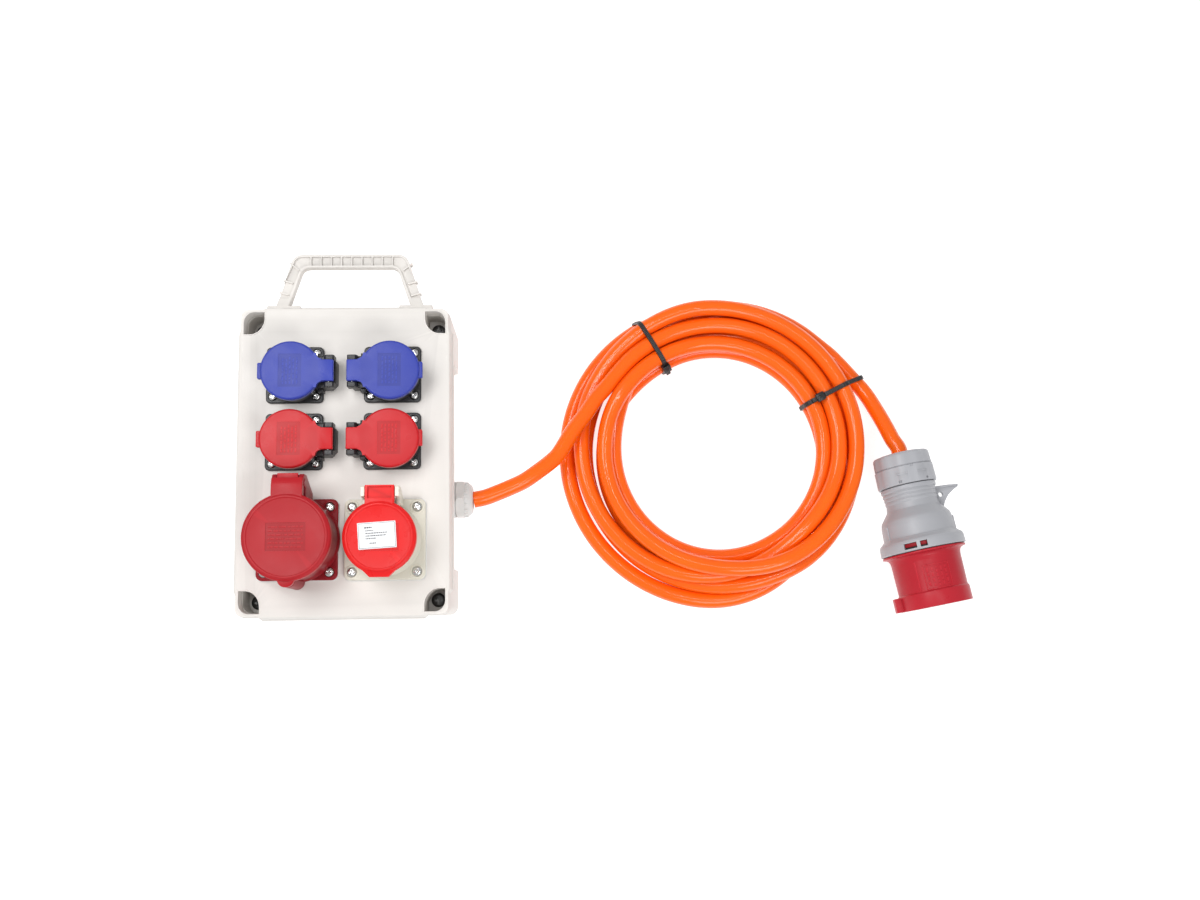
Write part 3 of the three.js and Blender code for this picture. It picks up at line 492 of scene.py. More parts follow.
def settled_coil():
    """Lets the turns sink onto each other until strands a diameter apart rest on the floor."""
    progress, target_r, target_z = coil_targets()
    count = len(progress)
    r, z = target_r.copy(), target_z.copy()
    first, second = np.array([(i, j) for i in range(count) for j in range(i + STEPS_PER_TURN, count,
                                                                         STEPS_PER_TURN)]).T
    from_tie = np.min([np.abs((180 - progress - a + 180) % 360 - 180) for a in TIE_ANGLES.values()], axis=0)
    floor = CORD_R + 0.1 + 2.1 * np.exp(-(from_tie / 9) ** 2)
    held = np.zeros(count, bool)
    held[:HELD_STEPS] = True
    held[-2:] = True
    rounds = 500
    for step in range(rounds):
        settle = step < rounds * 0.8
        smooth = 0.45 if settle else 0.12
        for line in (r, z):
            line[1:-1] += smooth * ((line[:-2] + line[2:]) / 2 - line[1:-1])
        if settle:
            r += 0.03 * (target_r - r)
            z += 0.015 * (target_z - z) - 0.05
        for _ in range(3):
            gap = np.stack([r[second] - r[first], z[second] - z[first]])
            far = np.maximum(np.hypot(*gap), 1e-6)
            push = np.maximum(CORD_D - far, 0) / far * 0.25 * gap
            np.add.at(r, second, push[0])
            np.add.at(r, first, -push[0])
            np.add.at(z, second, push[1])
            np.add.at(z, first, -push[1])
        z = np.maximum(z, floor)
        r[held], z[held] = target_r[held], target_z[held]
    angle = np.radians(180 - progress)
    return np.stack([COIL_AT[0] + r * np.cos(angle), COIL_AT[1] + r * np.sin(angle), z], axis=1)


def through(points, per_span):
    """A smooth line through points, with per_span steps between two of them."""
    p = np.array(points, float)
    p = np.vstack([2 * p[0] - p[1], p, 2 * p[-1] - p[-2]])
    line = []
    for a, b, c, d in zip(p, p[1:], p[2:], p[3:]):
        for t in np.arange(per_span) / per_span:
            line.append(0.5 * (2 * b + (c - a) * t + (2 * a - 5 * b + 4 * c - d) * t ** 2
                               + (3 * b - a - 3 * c + d) * t ** 3))
    return np.array(line + [p[-2]])


def make_cord():
    coil = settled_coil()
    into_plug = [PLUG_BACK - PLUG_AXIS * d for d in (7.0, 0.3)]
    route = through([*LEAD_POINTS, *coil.tolist(), *TAIL_POINTS, *into_plug], 4)
    curve = bpy.data.curves.new("supply_cord", "CURVE")
    curve.dimensions = "3D"
    curve.bevel_depth = CORD_R * MM
    curve.bevel_resolution = 7
    curve.use_fill_caps = True
    spline = curve.splines.new("POLY")
    spline.points.add(len(route) - 1)
    for point, place in zip(spline.points, route * MM):
        point.co = (*place, 1.0)
    spline.use_smooth = True
    cord = bpy.data.objects.new("supply_cord", curve)
    bpy.context.scene.collection.objects.link(cord)
    curve.materials.append(FINISH["cord_orange"])
    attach(cord, "root")
    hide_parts("cord_lead", "cord_coil", "cord_tail")
    return cord, route


def strands_at(route, degrees):
    """Where the cord crosses one angle of the coil: (radius, height) points."""
    flat = route[:, :2] - np.array(COIL_AT)
    turned = np.degrees(np.arctan2(flat[:, 1], flat[:, 0])) - degrees
    turned = (turned + 180) % 360 - 180
    radius = np.hypot(flat[:, 0], flat[:, 1])
    found = []
    for i in range(len(route) - 1):
        a, b = turned[i], turned[i + 1]
        if a * b <= 0 and abs(a - b) < 90 and radius[i] < 165:
            t = a / (a - b) if a != b else 0.0
            found.append((radius[i] + t * (radius[i + 1] - radius[i]),
                          route[i, 2] + t * (route[i + 1, 2] - route[i, 2])))
    return found


def hull(points):
    """The convex hull, anticlockwise."""
    points = sorted(set(points))

    def half(side):
        line = []
        for p in side:
            while len(line) > 1 and ((line[-1][0] - line[-2][0]) * (p[1] - line[-2][1])
                                     - (line[-1][1] - line[-2][1]) * (p[0] - line[-2][0])) <= 0:
                line.pop()
            line.append(p)
        return line[:-1]

    return half(points) + half(points[::-1])


def spaced_loop(points, step):
    ring = np.array(points + points[:1])
    along = np.concatenate([[0], np.cumsum(np.hypot(*np.diff(ring, axis=0).T))])
    at = np.arange(0, along[-1], along[-1] / round(along[-1] / step))
    return [(np.interp(s, along, ring[:, 0]), np.interp(s, along, ring[:, 1])) for s in at]


TIE_WIDTH = 4.6
TIE_THICK = 1.3


def make_tie(name, degrees, route, head_outside):
    """A toothed strap pulled round the strands, its lock, and the trimmed end of the strap."""
    wrap = CORD_R + 0.35
    around = [p for r, z in strands_at(route, degrees) for p in arc(r, z, wrap, 0, 360, 40)]
    inner = inset(spaced_loop(hull([(round(x, 3), round(y, 3)) for x, y in around]), 0.8), -0.25)
    rings = []
    for i, (a, b) in enumerate(zip(inner, inset(inner, -TIE_THICK))):
        tooth = 0.25 if i % 2 else 0.0
        half = TIE_WIDTH / 2
        a, b = Vector(a), Vector(b)
        b = b + (a - b).normalized() * tooth
        corners = ((a, -half), (a, half), (b, half - 0.4), (b, -half + 0.4))
        rings.append([(p.x, -across, p.y) for p, across in corners])
    strap = loft(rings, closed=True)
    top = max(z for _, z in inner)
    low_r = min(r for r, _ in inner)
    if head_outside:
        at = Vector((low_r + 1.0, 0, top - 11.0))
        tilt = 55.0
    else:
        near = [(r, z) for r, z in inner if r < low_r + 16]
        crest = max(near, key=lambda p: p[1])
        at = Vector((low_r + 15.0, 0, crest[1] + 2.0))
        tilt = 4.0
    lock = solid(
        [block(-4.2, 4.2, -4.0, 4.0, -2.6, 3.4, 0.7, 0.5, 1.0)],
        [block(-6, 6, -2.6, 2.6, 0.6, 2.0, 0.1)], bevel=0.15)
    pawl = block(-3.4, 1.0, -1.6, 1.6, 2.8, 3.9, 0.4)
    stub = block(-8.4, -3.8, -2.2, 2.2, 0.7, 1.9, 0.3, 0.3)
    head = together(lock, pawl, stub)
    head.transform(Matrix.Translation(at) @ Matrix.Rotation(math.radians(-tilt), 4, "Y"))
    place = Matrix.Translation((*COIL_AT, 0)) @ Matrix.Rotation(math.radians(degrees), 4, "Z")
    return piece(f"{name}_strap", together(strap, head), "tie_black", nodes=[name], place=place)


# ------------------------------------------------------------------ small hardware
def screw_head(radius, height, low):
    """A domed head with a cross recess, its underside at low."""
    dome = [(0, low), (radius, low), (radius, low + height * 0.45), (radius * 0.75, low + height * 0.85),
            (radius * 0.35, low + height), (0, low + height)]
    top = low + height
    arms = [block(-a, a, -b, b, top - height * 0.75, top + 1, 0.05, 0, 0.15)
            for a, b in ((radius * 0.55, radius * 0.14), (radius * 0.14, radius * 0.55))]
    socket = rod(radius * 0.24, top - height * 0.85, top + 1, 0.05, 24)
    return solid([lathe(dome, 0.3, 40)], [*arms, socket], bevel=0.06)


def screws(name, places, radius, height, low, place, turn=17.0):
    heads = [moved(screw_head(radius, height, low), (x, y, 0), turn + 31 * i)
             for i, (x, y) in enumerate(places)]
    return piece(name, together(*heads), "screw_steel", place=place, sharp=40)


def helix(radius, wire, turns, half, axis_place):
    """A wound spring as a closed tube along X."""
    steps = 20 * turns
    rings = []
    for i in range(steps + 1):
        a = TAU * turns * i / steps
        centre = Vector((half * (2 * i / steps - 1), radius * math.cos(a), radius * math.sin(a)))
        out = Vector((0, math.cos(a), math.sin(a)))
        side = Vector((1, 0, 0))
        rings.append([centre + out * wire * math.cos(TAU * k / 10) + side * wire * math.sin(TAU * k / 10)
                      for k in range(10)])
    bm = loft(rings)
    bm.transform(axis_place)
    return bm


def embossed_lines(width, length, rows, seed, height):
    """Generic raised dashes where a moulded rating plate would be; no letters."""
    rng = np.random.default_rng(seed)
    bars = []
    pitch = length / rows
    for i in range(rows):
        x = -width / 2
        y = length / 2 - pitch * (i + 0.5)
        while x < width / 2 - 1.5:
            run = float(rng.uniform(1.2, 4.0))
            end = min(x + run, width / 2)
            bars.append(block(x, end, y - pitch * 0.22, y + pitch * 0.22, -0.2, height, 0.12, 0, 0.2))
            x = end + float(rng.uniform(0.6, 1.4))
    return bars


# ------------------------------------------------------------------ enclosure
def leaf():
    """A well's outline: a round outer corner at +X +Y and a wide arc at its inner one."""
    half = WELL_SIDE / 2
    inner = WELL_SIDE * 0.72
    stretch = WELL_LENGTH / WELL_SIDE
    outline = [(half, -half), *arc(0, 0, half, 0, 90, 12), (-half, half),
               *arc(inner - half, inner - half, inner, 180, 270, 14)]
    return clean([(x, y * stretch) for x, y in outline])


def lid_ring(depth):
    """The lid's outline moved inwards, stepping in round each well."""
    side, end = LID_W / 2 - depth, LID_L / 2 - depth
    x, y = LID_W / 2 - LID_NOTCH - 0.38 * depth, LID_L / 2 - LID_NOTCH - 0.38 * depth
    r = 8.6 - 0.76 * depth
    steps = [i / 8 for i in range(9)]
    ease = [t * t * (3 - 2 * t) for t in steps]
    quarter = [(side + (x - side) * e, 113 + 4 * t) for t, e in zip(steps, ease)]
    quarter += arc(x - r, y - r, r, 0, 90, 10)
    quarter += [(73.5 - 4 * t, y + (end - y) * e) for t, e in zip(steps, ease)]
    left = [(-a, b) for a, b in quarter[::-1]]
    return quarter + left + [(-a, -b) for a, b in quarter] + [(-a, -b) for a, b in left]


def at_corners(make):
    """The shape made for the +X +Y corner, mirrored into all four."""
    shapes = []
    for sx, sy in ((1, 1), (-1, 1), (-1, -1), (1, -1)):
        bm = make()
        bmesh.ops.translate(bm, verts=bm.verts, vec=(*WELL_AT, 0))
        bm.transform(Matrix.Diagonal((sx, sy, 1, 1)))
        if sx * sy < 0:
            bmesh.ops.reverse_faces(bm, faces=bm.faces)
        shapes.append(bm)
    return shapes


def make_lid():
    levels = [(91.0, 0.5), (91.5, 0.0), (95.6, 0.0), (96.2, 0.25), (96.6, 0.9), (97.4, 1.1),
              (102.4, 1.9), (103.7, 2.3), (104.6, 3.1), (105.0, 4.2)]
    shell = loft([[(x, y, z) for x, y in lid_ring(depth)] for z, depth in levels])
    lips = at_corners(lambda: stack(inset(leaf(), -1.2), [
        (WELL_FLOOR - 2.3, 0), (LID_TOP + 0.1, 0), (LID_TOP + 0.5, 0.25), (LID_TOP + 0.6, 0.6)]))
    wells = at_corners(lambda: stack(leaf(), [
        (WELL_FLOOR, 0.5), (LID_TOP - 0.3, 0), (LID_TOP + 0.3, -0.2), (LID_TOP + 2, -0.5)]))
    hollow = stack(rounded_rect(WAIST_W - 6, 214, 3), [(90, 0), (102, 0)])
    seat = stack(rounded_rect(LID_W - 4.4, LID_L - 4.4, 7.6), [(90, 0), (93.3, 0)])
    rebates = [block(-92.8, 92.8, -112, 112, 92, 94.9, 0.1), block(-69, 69, -136.3, 136.3, 92, 94.9, 0.1)]
    bores = at_corners(lambda: rod(2.6, WELL_FLOOR - 5, WELL_FLOOR + 2, 0.1, 24))
    holes = [moved(rod(22.4, 98, 107, 0.1), (sx * SCHUKO_X, y, 0))
             for sx in (-1, 1) for y in SCHUKO_AT.values()]
    holes += [moved(rod(31.8, 98, 107, 0.1), (c["x"], c["y"], 0)) for c in (CEE_32, CEE_16)]
    whole = solid([shell, *lips], [hollow, seat, *rebates, *wells, *bores, *holes])
    piece("lid_moulding", whole, "enclosure_grey", nodes=["lid"], sharp=28)


def knockout_groove(x, r):
    """A ring cut in the end wall, where a cable entry may be knocked out."""
    profile = [(r - 0.45, -1), (r + 0.45, -1), (r + 0.35, 0.5), (r - 0.35, 0.5)]
    return moved(lathe(profile, 0.1, 64, True), (x, -BASE_L / 2 + 0.3, 45), -90, "X")


def make_base():
    outline = rounded_rect(BASE_W, BASE_L, 8.0, 10)
    shell = slab(outline, 0.0, 93.0, 0.4, 2.2, 5)
    steps = [block(*sorted((s * WAIST_W / 2, s * (BASE_W / 2 + 4))), -COLUMN_Y, COLUMN_Y, -4, 96, 0.5, 0, 1.5)
             for s in (-1, 1)]
    end_step = block(-62, 62, -BASE_L / 2 - 3, -BASE_L / 2 + 0.8, 4, 88, 0.3, 0.3, 2)
    cavity = stack(rounded_rect(WAIST_W - 6, 210, 3), [(3, 0), (96, 0)])
    seats = at_corners(lambda: stack(inset(leaf(), -1.55), [(60, 0), (96, 0)]))
    pilots = at_corners(lambda: rod(2.6, 40, 64, 0.1, 24))
    gland_hole = moved(rod(12.8, 78, 95, 0.2), (0, GLAND_AT[0], GLAND_AT[1]), 90, "Y")
    fixings = at_corners(lambda: rod(4.2, -1, 7, 0.2, 40))
    bed = stack(rounded_rect(132, 214, 6), [(-1, 0), (0.5, 0), (0.9, 0.4)])
    knockouts = [knockout_groove(x, r) for x in (-38, 0, 38) for r in (8.0, 12.5)]
    whole = solid([shell], [*steps, end_step, cavity, *seats, *pilots, gland_hole, *fixings, bed, *knockouts],
                  bevel=0.25)
    piece("base_moulding", whole, "enclosure_grey", nodes=["base_shell"], sharp=28)


def handle_outline(rise, foot, shoulder, radius, low):
    top = BASE_L / 2 + rise
    lean = math.degrees(math.atan2(foot - shoulder, top - low))
    return clean([(-foot, low), (foot, low), *arc(shoulder - radius, top - radius, radius, lean, 90, 12),
                  *arc(radius - shoulder, top - radius, radius, 90, 180 - lean, 12)])


def make_handle():
    low, high, foot_y = 80.7, 90.7, BASE_L / 2 + 0.3
    rim = 1.9
    outer = handle_outline(53.0, 67.5, 53.1, 10.0, foot_y)
    opening = handle_outline(40.8, 57.3, 44.6, 8.0, foot_y - 4)
    hoop = slab(outer, low, high, 1.0, 1.0, 4)
    through_hole = stack(opening, [(low - 2, -1.0), (low - 0.01, -0.9), (low + 0.9, 0), (high - 0.9, 0),
                                   (high + 0.01, -0.9), (high + 2, -1.0)])
    pocket_outer = handle_outline(53.0 - rim, 67.5 - rim, 53.1 - rim, 8.4, foot_y + 12)
    web_inner = handle_outline(40.8 + rim, 57.3 + rim, 44.6 + rim, 9.9, foot_y)
    pockets = [solid([stack(pocket_outer, [(z0, 0.3), (z1, 0)])],
                     [stack(web_inner, [(z0 - 1, -0.3), (z1 + 1, 0)])])
               for z0, z1 in ((high - 2.5, high + 3), (low - 3, low + 2.5))]
    body = solid([hoop], [through_hole, *pockets], bevel=0.25)
    ribs = [((1.2 + (i - 4) * 9.15, BASE_L / 2 + 46.5), 90.0, 10.6) for i in range(9)]
    ribs += [((-49.8, 178.0), -40.0, 11.0), ((51.6, 177.6), 40.0, 11.0)]
    ribs += [((-55.4, 164.1), -17.0, 9.0), ((-58.9, 153.2), -17.0, 9.0), ((56.0, 162.7), 17.0, 9.0),
             ((59.2, 152.0), 17.0, 9.0)]
    bars = [moved(block(-length / 2, length / 2, -0.65, 0.65, z0, z1, 0.3, 0.3), (x, y, 0), turn)
            for (x, y), turn, length in ribs for z0, z1 in ((high - 3.0, high - 0.3), (low + 0.3, low + 3.0))]
    pads = [moved(slab(rounded_rect(30, 5.7, 1.2), low, high, 0.8, 0.8), (s * 59.0, foot_y + 2.85, 0))
            for s in (-1, 1)]
    whole = solid([body, *pads, *bars])
    place = Matrix.Translation((1.8, 0, 0))
    piece("handle_moulding", whole, "enclosure_grey", nodes=["carry_handle"], place=place, sharp=30)


def make_lid_screws():
    for i, (sx, sy) in enumerate(((1, 1), (-1, 1), (-1, -1), (1, -1)), 1):
        head = screw_head(6.2, 3.4, WELL_FLOOR)
        shank = rod(2.1, 44, WELL_FLOOR + 0.3, 0.4, 24)
        place = Matrix.Translation((sx * WELL_AT[0], sy * WELL_AT[1], 0))
        # The screws take the darkened steel look: painted shade for the shadow in the wells.
        piece(f"lid_screw_{i}_fine", together(head, shank), "screw_steel", nodes=[f"lid_screw_{i}"],
              place=place, look="shade_darkened_steel")


# ------------------------------------------------------------------ domestic outlets
HINGE_X, HINGE_Z = 32.4, 20.5


def schuko_ear(y0, y1):
    outline = [(28.0, 10), (37.0, 10), (37.0, 21.4), (35.8, 22.6), (30.2, 22.6), (28.4, 20.8)]
    return prism_y(outline, y0, y1, 0.4)


def make_schuko(colour, side):
    name = f"schuko_{colour}_{'left' if side < 0 else 'right'}"
    place = Matrix.Translation((side * SCHUKO_X, SCHUKO_AT[colour], LID_TOP))
    if side > 0:
        place = place @ Matrix.Rotation(math.pi, 4, "Z")
    flange = slab(rounded_rect(SCHUKO_FLANGE, SCHUKO_FLANGE, 4.2), 0.3, 3.3, 0.9, 0.2)
    collar = lathe([(0, -39), (21.8, -39), (21.8, 1), (24.3, 1), (24.3, 18.4), (0, 18.4)], 0.8)
    hinge_block = slab([(20, -14.1), (33.2, -14.1), (37.8, -9.4), (37.8, 9.4), (33.2, 14.1), (20, 14.1)],
                       0.3, 15.4, 0.7, 0.2)
    wedges = [block(21.5, 26.5, y, y + 3.0, 2, 12.5, 0.6) for y in (-17.2, 14.2)]
    seats = at_squares(lambda: lathe([(0, 2.3), (3.9, 2.3), (4.3, 4), (0, 4)], 0.2, 40), SCHUKO_SCREWS)
    well = lathe([(0, -35), (19.8, -35), (19.8, 17.6), (20.6, 19.5), (0, 19.5)], 0.5)
    bore = moved(rod(1.6, -15, 15, 0.1, 24), (HINGE_X, 0, HINGE_Z), 90, "X")
    room = moved(rod(6.7, -9.6, 9.6, 0.2, 40), (HINGE_X, 0, HINGE_Z), 90, "X")
    keys = [block(-2.2, 2.2, y - 1.8, y + 1.8, 8, 21, 0.3) for y in (-20.4, 20.4)]
    body = solid([flange, collar, hinge_block, *wedges, schuko_ear(-14.1, -9.7), schuko_ear(9.7, 14.1)],
                 [*seats, well, bore, room, *keys])
    piece(f"{name}_housing", body, "outlet_black", nodes=[f"{name}_body"], place=place)

    face = rod(19.3, -34.6, -1.0, 0.6, 96)
    contact_holes = [moved(lathe([(0, -20), (2.5, -20), (2.5, -1.6), (3.4, 0), (0, 0)], 0.2, 40), (0, y, 0))
                     for y in (-9.5, 9.5)]
    slots = [block(-7.5, 7.5, y - 1.6, y + 1.6, -12, 1, 0.2) for y in (-17.8, 17.8)]
    island = slab(rounded_rect(12, 27, 5.8), -1.2, 0.2, 0.3)
    piece(f"{name}_face", solid([face, island], [*contact_holes, *slots], bevel=0.15), "outlet_black",
          nodes=[f"{name}_insert"], place=place)
    for i, y in enumerate((-1, 1), 1):
        bend = [(17.2, -9.0), (18.0, -9.0), (18.1, 7.0), (17.2, 10.8), (16.5, 10.6), (17.3, 7.0)]
        clip = prism_x([(y * a, b) for a, b in (bend if y > 0 else bend[::-1])], -2.4, 2.4, 0.15)
        piece(f"{name}_earth_clip_{i}", clip, "hinge_steel", place=place)

    colour_slot = f"cover_{colour}"
    cap = lathe([(0, 26), (24.5, 26), (25.7, 24.8), (25.7, 18.8), (22.9, 18.8), (22.9, 22.2),
                 (0, 22.2)], 0.7, 128)
    arm = prism_y(clean([(17, 19.3), (27, 19.0), (29.2, 18.2), *arc(HINGE_X, HINGE_Z, 3.6, -135, -10, 12),
                         (37.0, 21.4), (37.0, 24.4), (36.2, 25.2), (31.0, 26.0), (17, 26.0)]), -9.3, 9.3, 0.6)
    fillets = [slab(clean(outline), 20.0, 26.0, 0.5) for outline in (
        [(20.5, -8.0), *arc(27.2, -14.6, 5.2, 90, 180, 6), (20.5, -14.4)],
        [(20.5, 14.4), *arc(27.2, 14.6, 5.2, 180, 270, 6), (20.5, 8.0)])]
    nib = slab(rounded_rect(7.6, 14.2, 1.2), 19.2, 24.2, 0.6, 0.5)
    moved(nib, (-24.4, 0, 0))
    bore = moved(rod(1.7, -12, 12, 0.1, 24), (HINGE_X, 0, HINGE_Z), 90, "X")
    spring_room = block(HINGE_X - 3.2, HINGE_X + 3.2, -3.9, 3.9, 10, 23.3, 0.3)
    plate = stack(rounded_rect(20, 29, 0.8), [(25.72, 0.15), (27, 0)])
    marks = [moved(bar, (0, 0, 25.7), 90) for bar in embossed_lines(24, 15, 5, 3 + side, 0.1)]
    cover = solid([cap, arm, *fillets, nib], [bore, spring_room, plate])
    piece(f"{name}_flap", together(cover, *marks), colour_slot, body=f"{name}_cover",
          nodes=[f"{name}_cover"], place=place)

    pin = rod(1.3, -13.8, 13.8, 0.4, 32)
    piece(f"{name}_pin", moved(pin, (HINGE_X, 0, HINGE_Z), 90, "X"), "hinge_steel",
          nodes=[f"{name}_hinge_pin"], place=place)
    on_axis = Matrix.Translation((HINGE_X, 0, HINGE_Z)) @ Matrix.Rotation(math.pi / 2, 4, "Z")
    piece(f"{name}_coil_spring", helix(2.2, 0.4, 5, 2.8, on_axis), "hinge_steel",
          nodes=[f"{name}_spring"], place=place)
    screws(f"{name}_screws", square(SCHUKO_SCREWS), 3.55, 2.2, 2.4, place, 20 + 9 * side)


# ------------------------------------------------------------------ industrial outlets
def hinge_ear(c, x0, x1):
    """A side plate of the cover's hinge, drawn in Y and Z."""
    y, z, r = c["axis_y"], c["axis_z"], c["barrel"] + 0.4
    flat_top = [(y + r, z + r - 1.2), (y + r - 1.2, z + r), (y - r, z + r)]
    crown = arc(y, z, r, 0, 150, 12) if c is CEE_32 else flat_top
    outline = clean([(c["bore"] - 1, 4), (c["collar"] + 4.5, 4), (y + r, z - 9), *crown,
                     (y - r - 1.5, c["top"] - 4), (c["bore"] - 1, c["top"] - 4)])
    return prism_x(outline, x0, x1, 0.6)


def make_cee_body(c, slot, place):
    name, top = c["name"], c["top"]
    inner = c["half"] + 0.3
    flange = slab(rounded_rect(CEE_FLANGE, CEE_FLANGE, 5.5), 0.3, 4.0, 1.0, 0.3)
    side = c["collar"]
    collar = lathe([(0, -33), (31, -33), (31, 1), (side + 1.6, 1), (side + 1.6, 5.6), (side, 8.0),
                    (side, top - 3.0), (side - 0.6, top), (0, top)], 0.8, 128)
    web = prism_x([(c["bore"] - 1, 4), (c["collar"] + 3, 4), (c["axis_y"] - c["barrel"] - 0.6, top - 13),
                   (c["bore"] - 1, top - 8)], -inner - c["ear"], inner + c["ear"], 0.5)
    bulge = moved(lathe([(0, 0.3), (c["bulge"] + 0.4, 0.3), (c["bulge"], 6), (c["bulge"] - 0.8, top - 2),
                         (c["bulge"] - 1.8, top), (0, top)], 0.8, 48), (0, c["bulge_y"], 0))
    ears = [hinge_ear(c, -inner - c["ear"], -inner), hinge_ear(c, inner, inner + c["ear"])]
    boss = [(0, 1), (6.2, 1), (6.2, 4.3), (5.4, 4.9), (0, 4.9)]
    bosses = at_squares(lambda: lathe(boss, 0.3, 48), CEE_SCREWS)
    seats = at_squares(lambda: lathe([(0, 3.6), (4.4, 3.6), (4.8, 6), (0, 6)], 0.2, 40), CEE_SCREWS)
    bore = rod(c["bore"], 4, top + 2, 0.4, 128)
    hole = rod(c["insert"] + 0.5, -30, 6, 0.2, 128)
    keyway = moved(rod(c["bulge"] - 2.6, 5, top + 2, 0.3, 32), (0, c["bulge_y"] + 1.0, 0))
    pin_hole = moved(rod(1.9, -inner - 8, inner + 8, 0.1, 24), (0, c["axis_y"], c["axis_z"]), 90, "Y")
    body = solid([flange, collar, web, bulge, *ears, *bosses], [*seats, bore, hole, keyway, pin_hole])
    piece(f"{name}_housing", body, slot, nodes=[f"{name}_body"], place=place)
    gasket = slab(rounded_rect(CEE_FLANGE + 1.4, CEE_FLANGE + 1.4, 6), 0.02, 0.9, 0.2, 0.1)
    piece(f"{name}_flange_gasket", solid([gasket], [rod(34, -1, 3, 0.1)]), "gland_grey", place=place)
    screws(f"{name}_screws", square(CEE_SCREWS), 4.0, 2.5, 3.7, place, 12)


def make_cee_insert(c, place):
    name, top = c["name"], c["insert_top"]
    angles = [math.radians(i * 72 - 90) for i in range(5)]
    spots_at = [(c["circle"] * math.cos(a), c["circle"] * math.sin(a)) for a in angles]
    disc = rod(c["insert"], -29.7, top, 0.7, 96)
    holes = [moved(lathe([(0, top - 24), (c["sleeve"], top - 24), (c["sleeve"], top - 0.6),
                          (c["sleeve"] + 0.7, top + 0.6), (0, top + 0.6)], 0.2, 40), (x, y, 0))
             for x, y in spots_at]
    dish = rod(c["circle"] * 0.42, top - 1.6, top + 1, 0.3, 48)
    key = moved(block(-2.2, 2.2, -1.6, 1.6, top - 15, top + 2, 0.2), (0, -c["insert"] + 0.6, 0))
    piece(f"{name}_face", solid([disc], [*holes, dish, key], bevel=0.12), "insert_black",
          nodes=[f"{name}_insert"], place=place)
    tubes = []
    for x, y in spots_at:
        r = c["sleeve"] - 0.15
        tube = lathe([(r - 0.8, top - 22), (r, top - 22), (r, top - 2.0), (r - 0.8, top - 2.0)], 0.15, 32,
                     True)
        tubes.append(moved(tube, (x, y, 0)))
    piece(f"{name}_sleeves", together(*tubes), "contact_brass", place=place)


def make_cee_cover(c, slot, nib, place):
    name, low, high, r = c["name"], c["low"], c["high"], c["cover"]
    body = f"{name}_cover"
    cap = lathe([(0, high - 0.5), (r - 4.6, high - 0.5), (r - 4.2, high), (r - 2.6, high),
                 (r - 2.0, high - 0.9), (r - 0.9, high - 1.3), (r, high - 2.6), (r, low), (r - 2.6, low),
                 (r - 2.6, high - 3.6), (0, high - 3.6)], 0.45, 128)
    y, z, b = c["axis_y"], c["axis_z"], c["barrel"]
    tongue = y + b + 0.9
    rim = 1.6 if name == "cee_16a" else 0.0
    arm_side = clean([(r - 11, low + 1), (y - b - 3, low + 1), *arc(y, z, b, 185, 400, 18),
                      (tongue, z + b - 1.8), (tongue, z + b + rim - 0.2), (y - 1.0, z + b + rim + 0.5),
                      (y - b - 3.0, high - 1.6), (r - 8, high - 0.9), (r - 11, high - 0.9)])
    arms = [prism_x(arm_side, -c["half"], c["half"], 0.5)]
    if name == "cee_32a":
        shoulder = clean([(r - 11, low + 1), (y - 5.5, low + 1), *arc(y, z, 5.5, 160, 75, 8),
                          (y + 1.6, z + 6.6), (y + 0.6, z + 7.4), (y - 5.0, high - 1.3),
                          (r - 11, high - 0.9)])
        arms.append(prism_x(shoulder, -12.9, 12.9, 0.4))
    bore = moved(rod(1.95, -c["half"] - 2, c["half"] + 2, 0.1, 24), (0, y, z), 90, "Y")
    room = block(-4.6, 4.6, y - b - 0.4, y + b + 3, z - 8, z + 2.2, 0.3)
    cuts = [bore, room]
    if name == "cee_16a":
        across = c["half"] - 2.2
        cuts.append(block(-across, across, r + 1.6, tongue - 1.4, z + b - 0.6, high + 3, 0.2, 0, 0.5))
    cuts.append(stack(rounded_rect(33.2, 23.7, 0.8), [(high - 0.95, 0.2), (high + 1, 0)]))
    cover = solid([cap, *arms, nib], cuts)
    shapes = [cover]
    if name == "cee_32a":
        shapes += [moved(bar, (0, 0, high - 0.95)) for bar in embossed_lines(29, 20, 6, 11, 0.12)]
    piece(f"{name}_flap", together(*shapes), slot, body=body, nodes=[f"{name}_cover"], place=place)
    seal = lathe([(c["collar"] - 3.8, c["top"] + 0.3), (c["collar"] - 0.2, c["top"] + 0.3),
                  (c["collar"] - 0.2, low + 0.2), (c["collar"] - 3.8, low + 0.2)], 0.4, 96, True)
    piece(f"{name}_seal", seal, "seal_rubber", body=body, nodes=[f"{name}_cover_seal"], place=place)
    half = c["half"] + c["ear"] - 0.3
    pin = moved(rod(1.6, -half, half, 0.4, 32), (0, y, z), 90, "Y")
    piece(f"{name}_pin", pin, "hinge_steel", nodes=[f"{name}_hinge_pin"], place=place)
    piece(f"{name}_coil_spring", helix(2.6, 0.5, 6, 3.3, Matrix.Translation((0, y, z))), "hinge_steel",
          nodes=[f"{name}_spring"], place=place)


